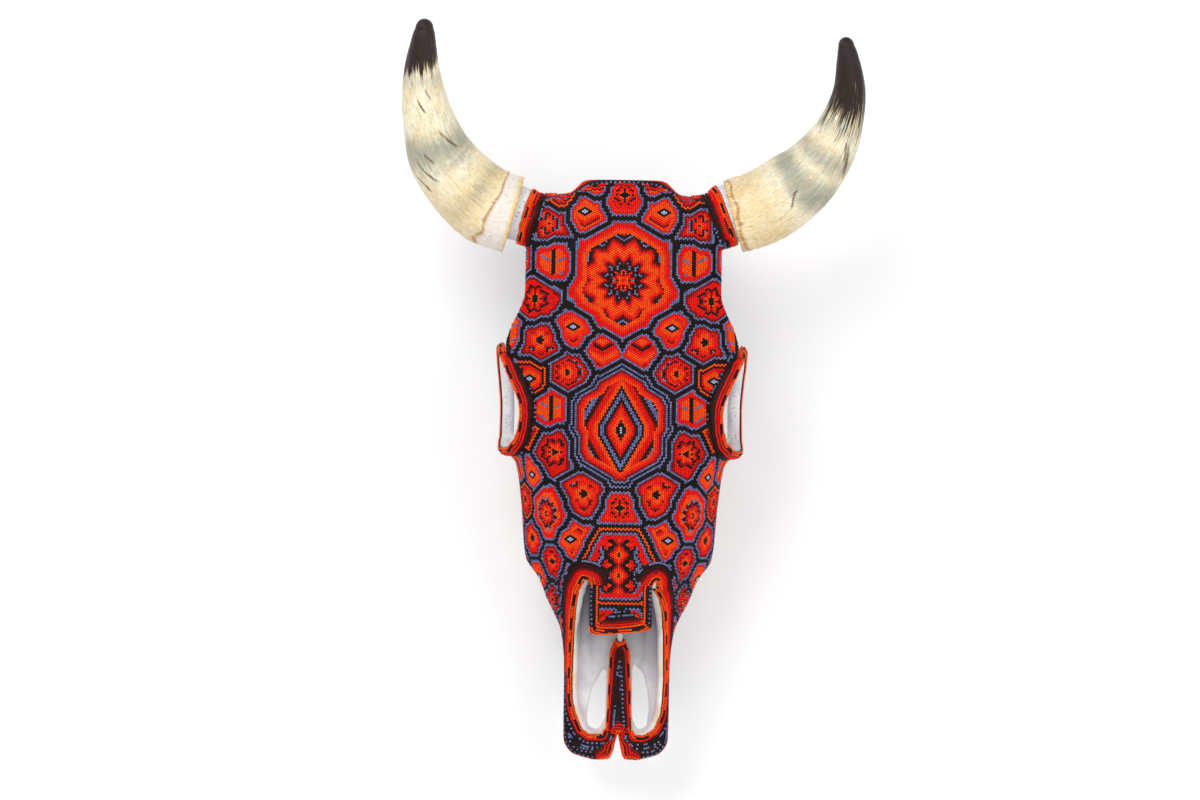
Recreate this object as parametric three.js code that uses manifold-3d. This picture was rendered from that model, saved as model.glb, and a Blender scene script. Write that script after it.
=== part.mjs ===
// A cow's skull whose face is covered in glass seed beads, with both horn sheaths on their bare bone cores.
// It lies face up on its hindmost cheek teeth and on the two bony spurs behind the ears.
//
// The skull is drawn in its own frame: x to the right of a viewer who looks down on the face with the poll
// away from them, "along" from the poll down the face to the end of the upper jaw, z out of the face.
// The whole group is then tipped so that it rests on the table, which is z = 0.
import * as THREE from "three";
import { mergeVertices } from "three/addons/utils/BufferGeometryUtils.js";
import Module from "manifold-3d";

const wasm = await Module();
wasm.setup();

// Driving dimensions, in millimetres and degrees
const SKULL_LENGTH = 514;
const BEAD_COAT = 2.6; // wax and beads together
const GAP = 0.4; // between pieces that touch
const REST_TILT = 5.2; // the poll lies higher than the nose by this angle
const POLL_HEIGHT = 183.5; // of the poll's frame above the table before it is tipped
const ORBIT = { along: 197, z: -49, halfLength: 43, halfHeight: 31 };
const ORBIT_RIM_THICKNESS = 11;
const NASAL_HALF_WIDTH = 29;
const NASAL_SLANT = 0.09; // the free end of the nasal bones reaches further on the left
const NASAL_END = 401;
const NOSE_LEAN = 2.4; // the nasal bones and the strip between the nostrils stand this far off the middle
const HORN_SHEATH_WALL = 5;
const BARE_LIP = 4.4; // bone left bare round the nasal opening

const BONE = new THREE.MeshStandardMaterial({ color: 0xe9e4dc, roughness: 0.75, metalness: 0 });
const BEADS = new THREE.MeshStandardMaterial({ color: 0xf03c0a, roughness: 0.25, metalness: 0 });
const HORN = new THREE.MeshStandardMaterial({ color: 0xe6d3a3, roughness: 0.4, metalness: 0 });
const TOOTH = new THREE.MeshStandardMaterial({ color: 0xd9cba6, roughness: 0.35, metalness: 0 });

// A point of the skull's frame
const at = (x, along, z) => new THREE.Vector3(x, -along, z);

// Rings of equal count joined into one skin, with a fan over each end unless the rings close on themselves.
// Each ring runs anticlockwise for a viewer whom the next rings come towards.
function loft(rings, closed = false) {
  const count = rings[0].length;
  const points = rings.flat();
  const index = [];
  const last = closed ? rings.length : rings.length - 1;
  for (let ring = 0; ring < last; ring++) {
    const here = ring * count;
    const next = ((ring + 1) % rings.length) * count;
    for (let k = 0; k < count; k++) {
      const turn = (k + 1) % count;
      index.push(here + k, here + turn, next + turn);
      index.push(here + k, next + turn, next + k);
    }
  }
  if (!closed) {
    const ends = [rings[0], rings[rings.length - 1]];
    ends.forEach((ring, end) => {
      const middle = ring.reduce((sum, p) => sum.add(p), new THREE.Vector3()).divideScalar(count);
      const start = end === 0 ? 0 : (rings.length - 1) * count;
      points.push(middle);
      for (let k = 0; k < count; k++) {
        const pair = [start + k, start + ((k + 1) % count)];
        if (end === 0) pair.reverse();
        index.push(pair[0], pair[1], points.length - 1);
      }
    });
  }
  return new THREE.BufferGeometry().setFromPoints(points).setIndex(index);
}

// A round bar along a smooth curve. A stop is [x, along, z, half-width, half-height].
function bar(stops, sides, steps, { up = new THREE.Vector3(0, 0, 1), closed = false } = {}) {
  const centres = stops.map(([x, along, z]) => at(x, along, z));
  const sizes = stops.map(([, , , w, h]) => new THREE.Vector3(w, h ?? w, 0));
  const path = new THREE.CatmullRomCurve3(centres, closed, "centripetal");
  const size = new THREE.CatmullRomCurve3(sizes, closed, "catmullrom");
  const rings = [];
  for (let i = 0; i < (closed ? steps : steps + 1); i++) {
    const tangent = path.getTangent(i / steps);
    const side = new THREE.Vector3().crossVectors(tangent, up).normalize();
    const top = new THREE.Vector3().crossVectors(side, tangent);
    const centre = path.getPoint(i / steps);
    const { x: width, y: height } = size.getPoint(i / steps);
    const ring = [];
    for (let k = 0; k < sides; k++) {
      const angle = (2 * Math.PI * k) / sides;
      ring.push(
        centre
          .clone()
          .addScaledVector(top, height * Math.cos(angle))
          .addScaledVector(side, width * Math.sin(angle)),
      );
    }
    rings.push(ring);
  }
  return loft(rings, closed);
}

function ellipsoid(x, along, z, halfWidth, halfLength, halfHeight, sides = 10) {
  const ball = new THREE.SphereGeometry(1, sides, Math.round(sides * 0.6));
  return ball.scale(halfWidth, halfLength, halfHeight).translate(x, -along, z);
}

// An outline of [x, along] points, raised from one height to another
function upright(outline, low, high) {
  const shape = new THREE.Shape(outline.map(([x, along]) => new THREE.Vector2(x, -along)));
  return new THREE.ExtrudeGeometry(shape, { depth: high - low, bevelEnabled: false }).translate(0, 0, low);
}

// An outline of [along, z] points, carried across from one x to another
function across(outline, left, right) {
  const shape = new THREE.Shape(outline.map(([along, z]) => new THREE.Vector2(-along, z)));
  const slab = new THREE.ExtrudeGeometry(shape, { depth: right - left, bevelEnabled: false });
  const axes = [new THREE.Vector3(0, 1, 0), new THREE.Vector3(0, 0, 1), new THREE.Vector3(1, 0, 0)];
  return slab.applyMatrix4(new THREE.Matrix4().makeBasis(...axes)).translate(left, 0, 0);
}

// Shared vertices merged, with position alone left
function merged(geometry) {
  const bare = geometry.clone();
  bare.deleteAttribute("normal");
  bare.deleteAttribute("uv");
  return mergeVertices(bare, 1e-4);
}

// The same form with its skin moved outwards, or inwards where the distance is negative
function grown(geometry, distance) {
  const skin = merged(geometry);
  skin.computeVertexNormals();
  const { position, normal } = skin.attributes;
  const point = new THREE.Vector3();
  for (let i = 0; i < position.count; i++) {
    point.fromBufferAttribute(position, i);
    point.addScaledVector(new THREE.Vector3().fromBufferAttribute(normal, i), distance);
    position.setXYZ(i, point.x, point.y, point.z);
  }
  return skin;
}

function solid(geometry) {
  const skin = merged(geometry);
  const vertProperties = skin.attributes.position.array;
  const triVerts = new Uint32Array(skin.index.array);
  return new wasm.Manifold(new wasm.Mesh({ numProp: 3, vertProperties, triVerts }));
}

const joined = (geometries) => geometries.map(solid).reduce((sum, piece) => sum.add(piece));
const less = (body, geometries) => geometries.reduce((rest, piece) => rest.subtract(solid(piece)), body);

function meshOf(name, body, material) {
  const { vertProperties, triVerts } = body.getMesh();
  const geometry = new THREE.BufferGeometry();
  geometry.setAttribute("position", new THREE.BufferAttribute(vertProperties, 3));
  geometry.setIndex(new THREE.BufferAttribute(triVerts, 1));
  geometry.computeVertexNormals();
  const mesh = new THREE.Mesh(geometry, material);
  mesh.name = name;
  return mesh;
}

// The head's cross-sections, over the beads. Each row is the distance along, the height of the crown, then
// [x, z] of the right half's brow, shoulder, plate edge, side, cheek, base and palate, and the floor's height.
const HEAD_SECTIONS = [
  [2, -14, [16, -15], [28, -19], [36, -31], [33, -42], [25, -47], [14, -49], [6, -50], -50],
  [9, -6, [24, -7], [42, -12], [51, -28], [49, -48], [38, -60], [22, -65], [10, -66], -66],
  [18, -2, [34, -3], [60, -9], [72, -30], [70, -60], [56, -80], [36, -92], [14, -96], -96],
  [30, -1, [40, -2], [70, -8], [84, -28], [78, -58], [68, -86], [48, -110], [20, -119], -120],
  [48, 0, [44, -1], [76, -6], [87, -22], [74, -48], [68, -84], [50, -116], [22, -132], -134],
  [99, 2, [44, 1], [74, -3], [87, -17], [62, -40], [60, -76], [40, -110], [20, -126], -128],
  [151, 0, [50, -1], [86, -6], [104, -20], [66, -44], [43, -74], [32, -102], [17, -116], -118],
  [176, -2, [46, -3], [78, -7], [93, -18], [60, -42], [41, -74], [32, -102], [18, -115], -117],
  [200, -3, [42, -4], [68, -8], [84, -18], [62, -42], [48, -74], [42, -104], [23, -120], -118],
  [214, -4, [42, -5], [70, -9], [88, -22], [88, -52], [78, -84], [60, -118], [36, -130], -120],
  [240, -5, [42, -6], [72, -11], [94, -34], [102, -66], [90, -96], [72, -134], [45, -137], -122],
  [252, -5, [40, -6], [68, -11], [87, -36], [93, -68], [86, -98], [72, -134], [46, -136], -119],
  [283, -4, [34, -5], [58, -11], [78, -38], [88, -70], [80, -98], [68, -129], [44, -131], -113],
  [336, -3, [29, -4], [46, -13], [66, -41], [83, -73], [68, -92], [58, -115], [38, -116], -101],
  [354, -6, [29, -8], [42, -15], [57, -39], [71, -67], [62, -88], [54, -109], [36, -110], -97],
  [371, -22, [28, -22], [41, -22], [53, -40], [64, -64], [57, -84], [50, -102], [32, -103], -93],
  [402, -36, [28, -36], [40, -34], [47, -46], [50, -62], [46, -78], [36, -90], [22, -90], -85],
  [430, -46, [30, -46], [40, -44], [46, -52], [47, -64], [43, -77], [34, -85], [20, -85], -82],
  [495, -58, [28, -57], [39, -57], [45, -62], [47, -69], [44, -76], [34, -81], [18, -81], -80],
  [508, -60, [22, -59], [31, -59], [38, -64], [40, -70], [37, -75], [28, -79], [14, -79], -79],
  [SKULL_LENGTH, -65, [12, -65], [17, -66], [21, -68], [22, -70], [20, -72], [16, -74], [8, -74], -74],
];
const UPPER_SPANS = 4; // spans from the crown to the side, drawn with a point more between their ends

function headSkin() {
  const rings = HEAD_SECTIONS.map(([along, crown, ...half]) => {
    const floor = half.pop();
    const left = half.map(([x, z]) => at(-x, along, z));
    const right = half.map(([x, z]) => at(x, along, z)).reverse();
    const outline = [at(0, along, crown), ...left, at(0, along, floor), ...right];
    const curve = new THREE.CatmullRomCurve3(outline, true, "centripetal");
    const spans = outline.length;
    const isUpper = (span) => span < UPPER_SPANS || span >= spans - UPPER_SPANS;
    const stops = outline.flatMap((_, span) => (isUpper(span) ? [span, span + 0.5] : [span]));
    return stops.map((stop) => curve.getPoint(stop / spans));
  });
  return loft(rings);
}

// In the pieces below, margin is how far the skin lies inside the tops of the beads.

// The two nasal bones as one plate with a free, square end over the nasal opening
function nasalSkin(margin) {
  const stops = [
    { along: 322, half: NASAL_HALF_WIDTH - 2, top: -6, slant: 0 },
    { along: 340, half: NASAL_HALF_WIDTH, top: -4, slant: 0 },
    { along: 372, half: NASAL_HALF_WIDTH, top: -3, slant: 0 },
    { along: NASAL_END - margin, half: NASAL_HALF_WIDTH + 1, top: -5, slant: NASAL_SLANT },
  ];
  const section = ({ along: middle, half, top, slant }) => {
    const edge = half - margin;
    const crown = top - margin;
    const at = (x, along, z) => new THREE.Vector3(x + NOSE_LEAN, -along + slant * x, z);
    const along = middle;
    const side = [[0.5 * edge, crown - 0.5], [0.9 * edge, crown - 2.5], [edge, top - 7]];
    side.push([0.9 * edge, top - 9.5 - margin], [0.5 * edge, top - 8.5 - margin]);
    const left = side.map(([x, z]) => at(-x, along, z));
    const right = side.map(([x, z]) => at(x, along, z)).reverse();
    return [at(0, along, crown), ...left, at(0, along, top - 8 - margin), ...right];
  };
  return loft(stops.map(section));
}

// The strip of bone between the nostrils, pointed towards the nose
function tongueSkin(margin) {
  const stops = [[409 + margin, -70, 5, 4.5], [417, -69, 8.4, 6.5], [442, -68, 10.6, 7.5], [494, -67, 12.5, 8]];
  return bar(stops.map(([along, z, w, h]) => [NOSE_LEAN, along, z, w - margin, h - margin]), 8, 5);
}

// Where each horn's sheath begins, its bone core's radius, and the length of core left bare before the
// beads. sign is -1 on the left and +1 on the right.
const HORN_ROOTS = {
  "-1": { base: [-98, 34.2, -37], core: 21.5, bare: 12.5 },
  1: { base: [95.6, 32.3, -37], core: 24, bare: 4.5 },
};
const HORN_RISE = 15.8; // degrees by which the horns leave towards the poll

function hornAxisPoint(sign, distance) {
  const [x, along, z] = HORN_ROOTS[sign].base;
  const rise = THREE.MathUtils.degToRad(HORN_RISE);
  return [x + sign * distance * Math.cos(rise), along - distance * Math.sin(rise), z];
}

// The bony stump under the beads from which a horn grows
function stumpSkin(sign, margin) {
  const { core, bare } = HORN_ROOTS[sign];
  const root = [sign * 40, 46, -38, 38 - margin, 30 - margin];
  const neck = [sign * 66, 41, -37, 28 - margin, 28 - margin];
  const edge = [...hornAxisPoint(sign, -bare), core + BEAD_COAT - margin];
  return bar([root, neck, edge], 12, 3);
}

// Bare bone: the rings round the eyes, the cheek arches, the parts round the neck joint and the palate

function orbitRing(sign) {
  const stops = [
    [103, 153, -50, 6], [103, 163, -77, 8], [100, 197, -88, 9], [99, 227, -78, 8],
    [97, 239, -51, 6], [91, 230, -24, 5], [80, 198, -13, 5], [97, 166, -19, 5],
  ];
  const sized = stops.map(([x, along, z, width]) => [sign * x, along, z, width, ORBIT_RIM_THICKNESS / 2]);
  return bar(sized, 6, 16, { up: new THREE.Vector3(1, 0, 0), closed: true });
}

function cheekArch(sign) {
  const stops = [
    [102, 166, -80, 5, 9], [100, 148, -84, 5, 10], [91, 131, -86, 5, 11],
    [82, 116, -84, 6, 12], [73, 103, -79, 8, 12], [52, 92, -72, 12, 12],
  ];
  return bar(stops.map(([x, ...rest]) => [sign * x, ...rest]), 8, 6);
}

function neckSpur(sign) {
  const stops = [[46, 46, -80, 20, 16], [48, 50, -116, 16, 13], [46, 54, -150, 11, 10], [44, 55, -188, 6, 5]];
  return bar(stops.map(([x, ...rest]) => [sign * x, ...rest]), 8, 5, { up: new THREE.Vector3(0, 1, 0) });
}

const CORE_TAPER = [0.9, 0.7, 0.45];

function hornCore(sign) {
  const { core, bare } = HORN_ROOTS[sign];
  const start = [...hornAxisPoint(sign, -45), core];
  const shown = [...hornAxisPoint(sign, -bare), core];
  const base = [...hornAxisPoint(sign, 0), core - 0.5];
  const [, , second, third, fourth] = HORN_STOPS[sign];
  const inside = [second, third, fourth].map(([x, along, z], i) => [x, along, z, core * CORE_TAPER[i]]);
  return bar([start, shown, base, ...inside], 10, 6);
}

// The thin upright wing of bone on each side of the throat: [along, z]
const WING_OUTLINE = [[176, -108], [228, -112], [232, -134], [206, -146], [186, -143]];

// With the two knuckles of the neck joint and the two ear capsules as ellipsoids
const bareBone = () => [
  ...[-1, 1].flatMap((sign) => [
    orbitRing(sign),
    cheekArch(sign),
    neckSpur(sign),
    hornCore(sign),
    ellipsoid(sign * 25, 35, -119, 22, 24, 25),
    ellipsoid(sign * 34, 88, -116, 13, 22, 16, 8),
    across(WING_OUTLINE, sign * 23 - 2.5, sign * 23 + 2.5),
  ]),
];

// The opening of the nose seen from above at the edge of the beads, widened all round by a margin
function noseOpening(margin) {
  const left = [
    [-20, 349], [-29.5, 352.5], [-34.5, 363], [-37, 381], [-38, 403],
    [-39, 442], [-38.5, 460], [-35.5, 473], [-30, 486], [-24, 490.5],
  ];
  const right = [
    [24.5, 491.5], [33.5, 485.5], [39, 472], [40.2, 459], [41, 441], [40, 402],
    [38, 380], [34.7, 364], [29, 367], [25, 350],
  ];
  const lengthened = (along) => (along < NASAL_END ? along - margin : along + margin / 4);
  return [...left, ...right].map(([x, along]) => [x + Math.sign(x) * margin, lengthened(along)]);
}

// The hollow of the nose. It narrows towards its floor and runs back under the nasal bones to the throat.
function noseHollow() {
  const stops = [
    [238, 20, -30, -78], [270, 27, -16, -84], [340, 32, -15, -86], [372, 34, -15, -82],
    [402, 36, -20, -78], [430, 36, -20, -74], [465, 34, -20, -72], [484, 26, -20, -71], [490, 18, -20, -66],
  ];
  const section = ([along, half, top, low]) => {
    const middle = (top + low) / 2;
    const side = [[0.7 * half, top], [half, middle + 8], [0.9 * half, middle - 14], [0.6 * half, low]];
    const left = side.map(([x, z]) => at(-x, along, z));
    const right = side.map(([x, z]) => at(x, along, z)).reverse();
    return [at(0, along, top), ...left, at(0, along, low), ...right];
  };
  return loft(stops.map(section));
}

// The slits through the palate on both sides of the strip: [x, along]
const PALATE_SLITS = [
  [[-10.5, 420], [-15, 437], [-23, 450], [-26, 472], [-25, 483], [-14, 482], [-11.5, 464]],
  [[15.5, 430], [25, 438], [28, 454], [28.5, 470], [26, 484], [19, 484], [15.5, 465]],
];
const palateSlits = () => PALATE_SLITS.map((outline) => upright(outline, -95, -60));

const throat = () => bar([[0, 186, -140, 15, 15], [0, 214, -122, 16, 15], [0, 250, -70, 16, 16]], 10, 4);
const spineHole = () => bar([[0, -6, -112, 18, 15], [0, 40, -110, 17, 14], [0, 80, -104, 14, 12]], 12, 3);
const lipNotch = (width) => upright([[1.8, 477], [1.2 - width, 520], [1.2 + width, 520]], -95, -40);
const orbitHollow = (sign) =>
  ellipsoid(sign * 98, ORBIT.along, ORBIT.z, 52, ORBIT.halfLength - 1, ORBIT.halfHeight - 1, 14);

// Thin upright plate that parts the nose
const septum = () => {
  const outline = [[262, -20], [330, -22], [380, -46], [412, -64], [412, -78], [262, -86]];
  return across(outline, NOSE_LEAN - 2.4, NOSE_LEAN + 2.4);
};

// Cheek teeth, from the front of the row to the back. Length runs along the row.
const TEETH = [
  { name: "p2", length: 18, width: 15, x: 43, drop: 20 },
  { name: "p3", length: 20, width: 17, x: 46, drop: 22 },
  { name: "p4", length: 20, width: 19, x: 49, drop: 24 },
  { name: "m1", length: 24, width: 22, x: 52.5, drop: 26 },
  { name: "m2", length: 28, width: 24, x: 56.5, drop: 28 },
  { name: "m3", length: 30, width: 23, x: 58.5, drop: 29.5 },
];
const TOOTH_ROW_FRONT = 369;
const TOOTH_ROOT = 6; // how far a tooth would reach into the jaw before it is cut off at the bone
const TOOTH_SIDES = 8;
const jawEdgeAt = (along) => THREE.MathUtils.mapLinear(along, 252, 354, -131, -106);

function toothSkin(tooth, along, sign) {
  const edge = jawEdgeAt(along);
  const levels = [[edge - tooth.drop, 0.98], [edge + TOOTH_ROOT, 0.88]];
  const rings = levels.map(([z, share]) => {
    const ring = [];
    for (let k = 0; k < TOOTH_SIDES; k++) {
      const angle = (2 * Math.PI * (k + 0.5)) / TOOTH_SIDES;
      const squared = (value) => Math.sign(value) * Math.abs(value) ** 0.6;
      const x = (share * tooth.width * squared(Math.cos(angle))) / 2;
      const y = (share * (tooth.length - GAP) * squared(Math.sin(angle))) / 2;
      ring.push(new THREE.Vector3(sign * tooth.x + x, y - along, z));
    }
    return ring;
  });
  return loft(rings);
}

// Each horn's centre line and radius: [x, along, z, radius], from its open base to its blunt tip
const HORN_STOPS = {
  "-1": [
    [-98, 34.2, -37, 35.6], [-108, 31.4, -36.5, 35.5], [-123.1, 24.5, -35, 34.8], [-142.4, 8.4, -30, 32.5],
    [-161.3, -15.3, -21, 29.3], [-171.8, -43.8, -10, 23.4], [-176.7, -65.7, -2, 19.8], [-179.1, -90.4, 7, 15.6],
    [-178.1, -111, 14, 11.6], [-177.2, -126, 18, 7.8], [-177.8, -134, 20, 2],
  ],
  1: [
    [95.6, 32.3, -37, 32.7], [106, 29.3, -36.5, 33], [125.8, 21.3, -35, 33], [146.6, 6.8, -30, 31.8],
    [161.8, -6.2, -23, 28.8], [180.8, -32, -12, 23.3], [191, -58.6, -2, 17.4], [194.5, -79.4, 6, 14],
    [192.6, -105, 14, 9.8], [190.6, -118, 17, 6.2], [189.9, -124, 19, 1.5],
  ],
};

function hornBody(sign) {
  const stops = HORN_STOPS[sign];
  const outside = solid(bar(stops, 12, 14));
  const [x, along, z] = hornAxisPoint(sign, -8);
  const hollow = stops.slice(0, 6).map((stop) => [...stop.slice(0, 3), stop[3] - HORN_SHEATH_WALL]);
  hollow[5][3] = 9;
  return less(outside, [bar([[x, along, z, hollow[0][3]], ...hollow], 12, 5)]);
}

// Where the beads stop on the sides of the head: [along, z]
const COAT_EDGE = [
  [-20, -30], [150, -30], [214, -27], [238, -36], [243, -92], [256, -104], [300, -104],
  [354, -90], [389, -78], [430, -71], [540, -73],
];

function coatRegion() {
  const above = across([...COAT_EDGE, [540, 40], [-20, 40]], -150, 150);
  const collars = [-1, 1].map((sign) => {
    const inner = hornAxisPoint(sign, -32);
    const outer = hornAxisPoint(sign, -HORN_ROOTS[sign].bare - GAP);
    return bar([[...inner, 46], [...outer, 46]], 12, 1);
  });
  return joined([above, ...collars]);
}

const signs = [-1, 1];
const head = headSkin();

// The beaded parts of the head, with their skin a margin below the tops of the beads
const beadedHead = (margin) => [grown(head, -margin), ...signs.map((sign) => stumpSkin(sign, margin))];
const beadedNose = (margin) => [nasalSkin(margin), tongueSkin(margin)];
const TO_BONE = BEAD_COAT + GAP;

const teeth = signs.flatMap((sign) => {
  let front = TOOTH_ROW_FRONT;
  return TEETH.map((tooth) => {
    const along = front - tooth.length / 2;
    front -= tooth.length;
    const side = sign < 0 ? "left" : "right";
    return { name: `tooth_${side}_${tooth.name}`, skin: toothSkin(tooth, along, sign) };
  });
});

// The table, seen from the tipped skull's frame
const rest = new THREE.Group();
rest.rotation.x = THREE.MathUtils.degToRad(REST_TILT);
rest.position.z = POLL_HEIGHT;
rest.updateMatrix();
const table = new THREE.BoxGeometry(1600, 1600, 200).translate(0, 0, -100);
table.applyMatrix4(rest.matrix.clone().invert());

const cranium = less(joined([...beadedHead(TO_BONE), ...bareBone()]), [
  ...signs.map(orbitHollow),
  noseHollow(),
  upright(noseOpening(-BARE_LIP), -60, 30),
  throat(),
]);
const skull = less(cranium.add(joined([...beadedNose(TO_BONE), septum()])), [
  ...palateSlits(),
  spineHole(),
  lipNotch(9),
  table,
]);

const coatOver = less(joined(beadedHead(0)), [
  ...signs.map(orbitHollow),
  upright(noseOpening(0), -90, 30),
]);
const coat = less(coatOver.add(joined(beadedNose(0))).intersect(coatRegion()), [
  ...[...beadedHead(BEAD_COAT), ...beadedNose(BEAD_COAT)],
  ...[...bareBone(), septum()].map((geometry) => grown(geometry, 2 * GAP)),
  noseHollow(),
  lipNotch(10),
]);

rest.add(meshOf("skull", skull, BONE));
rest.add(meshOf("bead_coat", coat, BEADS));
rest.add(meshOf("horn_left", hornBody(-1), HORN));
rest.add(meshOf("horn_right", hornBody(1), HORN));
for (const { name, skin } of teeth) {
  const tooth = less(solid(skin), [grown(head, -BEAD_COAT), table]);
  rest.add(meshOf(name, tooth, TOOTH));
}

// The origin is under the middle of the whole, on the table.
const part = new THREE.Group();
part.add(rest);
const middle = new THREE.Box3().setFromObject(part).getCenter(new THREE.Vector3());
rest.position.x -= middle.x;
rest.position.y -= middle.y;

export default part;
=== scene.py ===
"""Dresses the beaded cow skull: bone, wax, glass seed beads, horn sheaths and cheek teeth.

Forms are drawn in the skull's own frame, in millimetres: x to the right of a viewer who looks down on the face,
y towards the poll, so that a place "along" the head from the poll is at y = -along, and z out of the face.
RestPose tips them as the skull lies on the table and turns them to metres.
"""

import logging
import math
from dataclasses import dataclass, field
from enum import Enum
from itertools import product

import bpy
import numpy as np
from bpy.types import ID, Material, Mesh, Node, NodeSocket, NodeTree, Object
from mathutils import Matrix, Vector, noise
from mathutils.bvhtree import BVHTree
from mathutils.kdtree import KDTree


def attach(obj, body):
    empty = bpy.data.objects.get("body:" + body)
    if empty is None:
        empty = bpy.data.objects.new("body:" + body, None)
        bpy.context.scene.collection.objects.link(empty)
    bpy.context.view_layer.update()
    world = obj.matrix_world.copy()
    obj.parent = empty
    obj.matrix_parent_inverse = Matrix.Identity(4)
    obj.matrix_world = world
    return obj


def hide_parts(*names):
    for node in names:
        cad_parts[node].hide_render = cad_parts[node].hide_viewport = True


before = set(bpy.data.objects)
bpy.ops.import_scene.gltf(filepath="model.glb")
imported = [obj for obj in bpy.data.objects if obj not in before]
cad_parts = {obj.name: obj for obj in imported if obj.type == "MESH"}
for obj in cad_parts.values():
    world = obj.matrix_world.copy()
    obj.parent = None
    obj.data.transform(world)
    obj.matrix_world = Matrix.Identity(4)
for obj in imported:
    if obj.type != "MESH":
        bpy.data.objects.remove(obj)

log = logging.getLogger("beaded_skull")
Array = np.ndarray

SIDES = (-1, 1)  # left and right in the picture
BEAD_COAT = 2.6  # mm, wax and beads together
GAP = 0.4  # mm that the bone lies clear of the coat
TO_BONE = BEAD_COAT + GAP
WAX_DEPTH = 1.45  # mm
BEAD_PITCH = 2.0  # mm, size 11 seed beads, wall to wall
ROW_STEP = BEAD_PITCH * math.sqrt(3) / 2  # between rows of beads that nest into one another
ORBIT_CENTRE = (98.0, 197.0, -49.0)  # x, along and z of the middle of an eye socket
ORBIT_HALF = (52.0, 42.0, 30.0)  # its half-axes across, along and up
BARE_LIP = 4.4  # mm, width of the bare lip round the nose
NASAL_END = 401.0  # how far along the nasal bones end
NASAL_SLANT = 0.09  # the free end of the nasal bones reaches further on the left
NOSE_LEAN = 2.4  # the nasal bones and the strip between the nostrils stand this far off the middle
LEAST_PATCH = 400  # triangles that a patch of wax needs to be kept


# ---- Forms ----


@dataclass
class Form:
    """A skin of triangles, in millimetres in the skull's frame."""

    points: Array
    triangles: Array

    def normals(self) -> Array:
        """Find the outward direction at each point.

        Returns:
            One unit vector for each point.
        """
        corner = self.points[self.triangles]
        face = np.cross(corner[:, 1] - corner[:, 0], corner[:, 2] - corner[:, 0])
        total = np.zeros_like(self.points)
        for k in range(3):
            np.add.at(total, self.triangles[:, k], face)
        return total / np.maximum(np.linalg.norm(total, axis=1, keepdims=True), 1e-12)

    def volume(self) -> float:
        """Return the signed volume, which is positive where faces point outwards."""
        a, b, c = np.moveaxis(self.points[self.triangles], 1, 0)
        return float(np.einsum("ij,ij->i", a, np.cross(b, c)).sum() / 6)

    def outward(self) -> "Form":
        """Return the form with its faces turned outwards."""
        return self if self.volume() > 0 else Form(self.points, self.triangles[:, ::-1])

    def grown(self, distance: float) -> "Form":
        """Return the form with its skin moved outwards, or inwards where the distance is negative."""
        return Form(self.points + distance * self.normals(), self.triangles)

    def softened(self, rounds: int) -> "Form":
        """Even out the form's skin.

        Args:
            rounds: How often its points move towards the middle of their neighbours.

        Returns:
            The softened form.
        """
        pairs = np.sort(np.vstack([self.triangles[:, [k, (k + 1) % 3]] for k in range(3)]), axis=1)
        keys = np.unique(pairs[:, 0].astype(np.int64) * len(self.points) + pairs[:, 1])
        a, b = keys // len(self.points), keys % len(self.points)
        count = np.bincount(np.concatenate([a, b]), minlength=len(self.points))[:, None]
        points = self.points.copy()
        for _ in range(rounds):
            for step in (0.5, -0.52):  # the step back keeps the form from shrinking
                total = np.stack([
                    np.bincount(a, points[b, k], len(points)) + np.bincount(b, points[a, k], len(points))
                    for k in range(3)
                ], 1)
                points += step * (total / count - points)
        return Form(points, self.triangles)


def smooth_curve(stops: Array, count: int, closed: bool = False) -> Array:
    """Sample a centripetal Catmull-Rom curve.

    Args:
        stops: One row for each stop, with x, y and z first and any other measures after them.
        count: How many rows to return.
        closed: Whether the last stop leads back to the first.

    Returns:
        The sampled rows, evenly spread over the spans.
    """
    stops = np.asarray(stops, float)
    spans = len(stops) if closed else len(stops) - 1
    places = np.linspace(0, spans, count, endpoint=not closed)
    span = np.minimum(places.astype(int), spans - 1)
    share = (places - span)[:, None]
    if closed:
        p0, p1, p2, p3 = (stops[(span + k) % len(stops)] for k in (-1, 0, 1, 2))
    else:
        padded = np.vstack([2 * stops[0] - stops[1], stops, 2 * stops[-1] - stops[-2]])
        p0, p1, p2, p3 = (padded[span + k] for k in range(4))
    d0, d1, d2 = (
        np.maximum(np.linalg.norm((b - a)[:, :3], axis=1, keepdims=True), 1e-6) ** 0.5
        for a, b in ((p0, p1), (p1, p2), (p2, p3))
    )
    leave = d1 * ((p1 - p0) / d0 - (p2 - p0) / (d0 + d1) + (p2 - p1) / d1)
    arrive = d1 * ((p2 - p1) / d1 - (p3 - p1) / (d1 + d2) + (p3 - p2) / d2)
    cubic = 2 * (p1 - p2) + leave + arrive
    square = 3 * (p2 - p1) - 2 * leave - arrive
    return p1 + share * (leave + share * (square + share * cubic))


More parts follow.
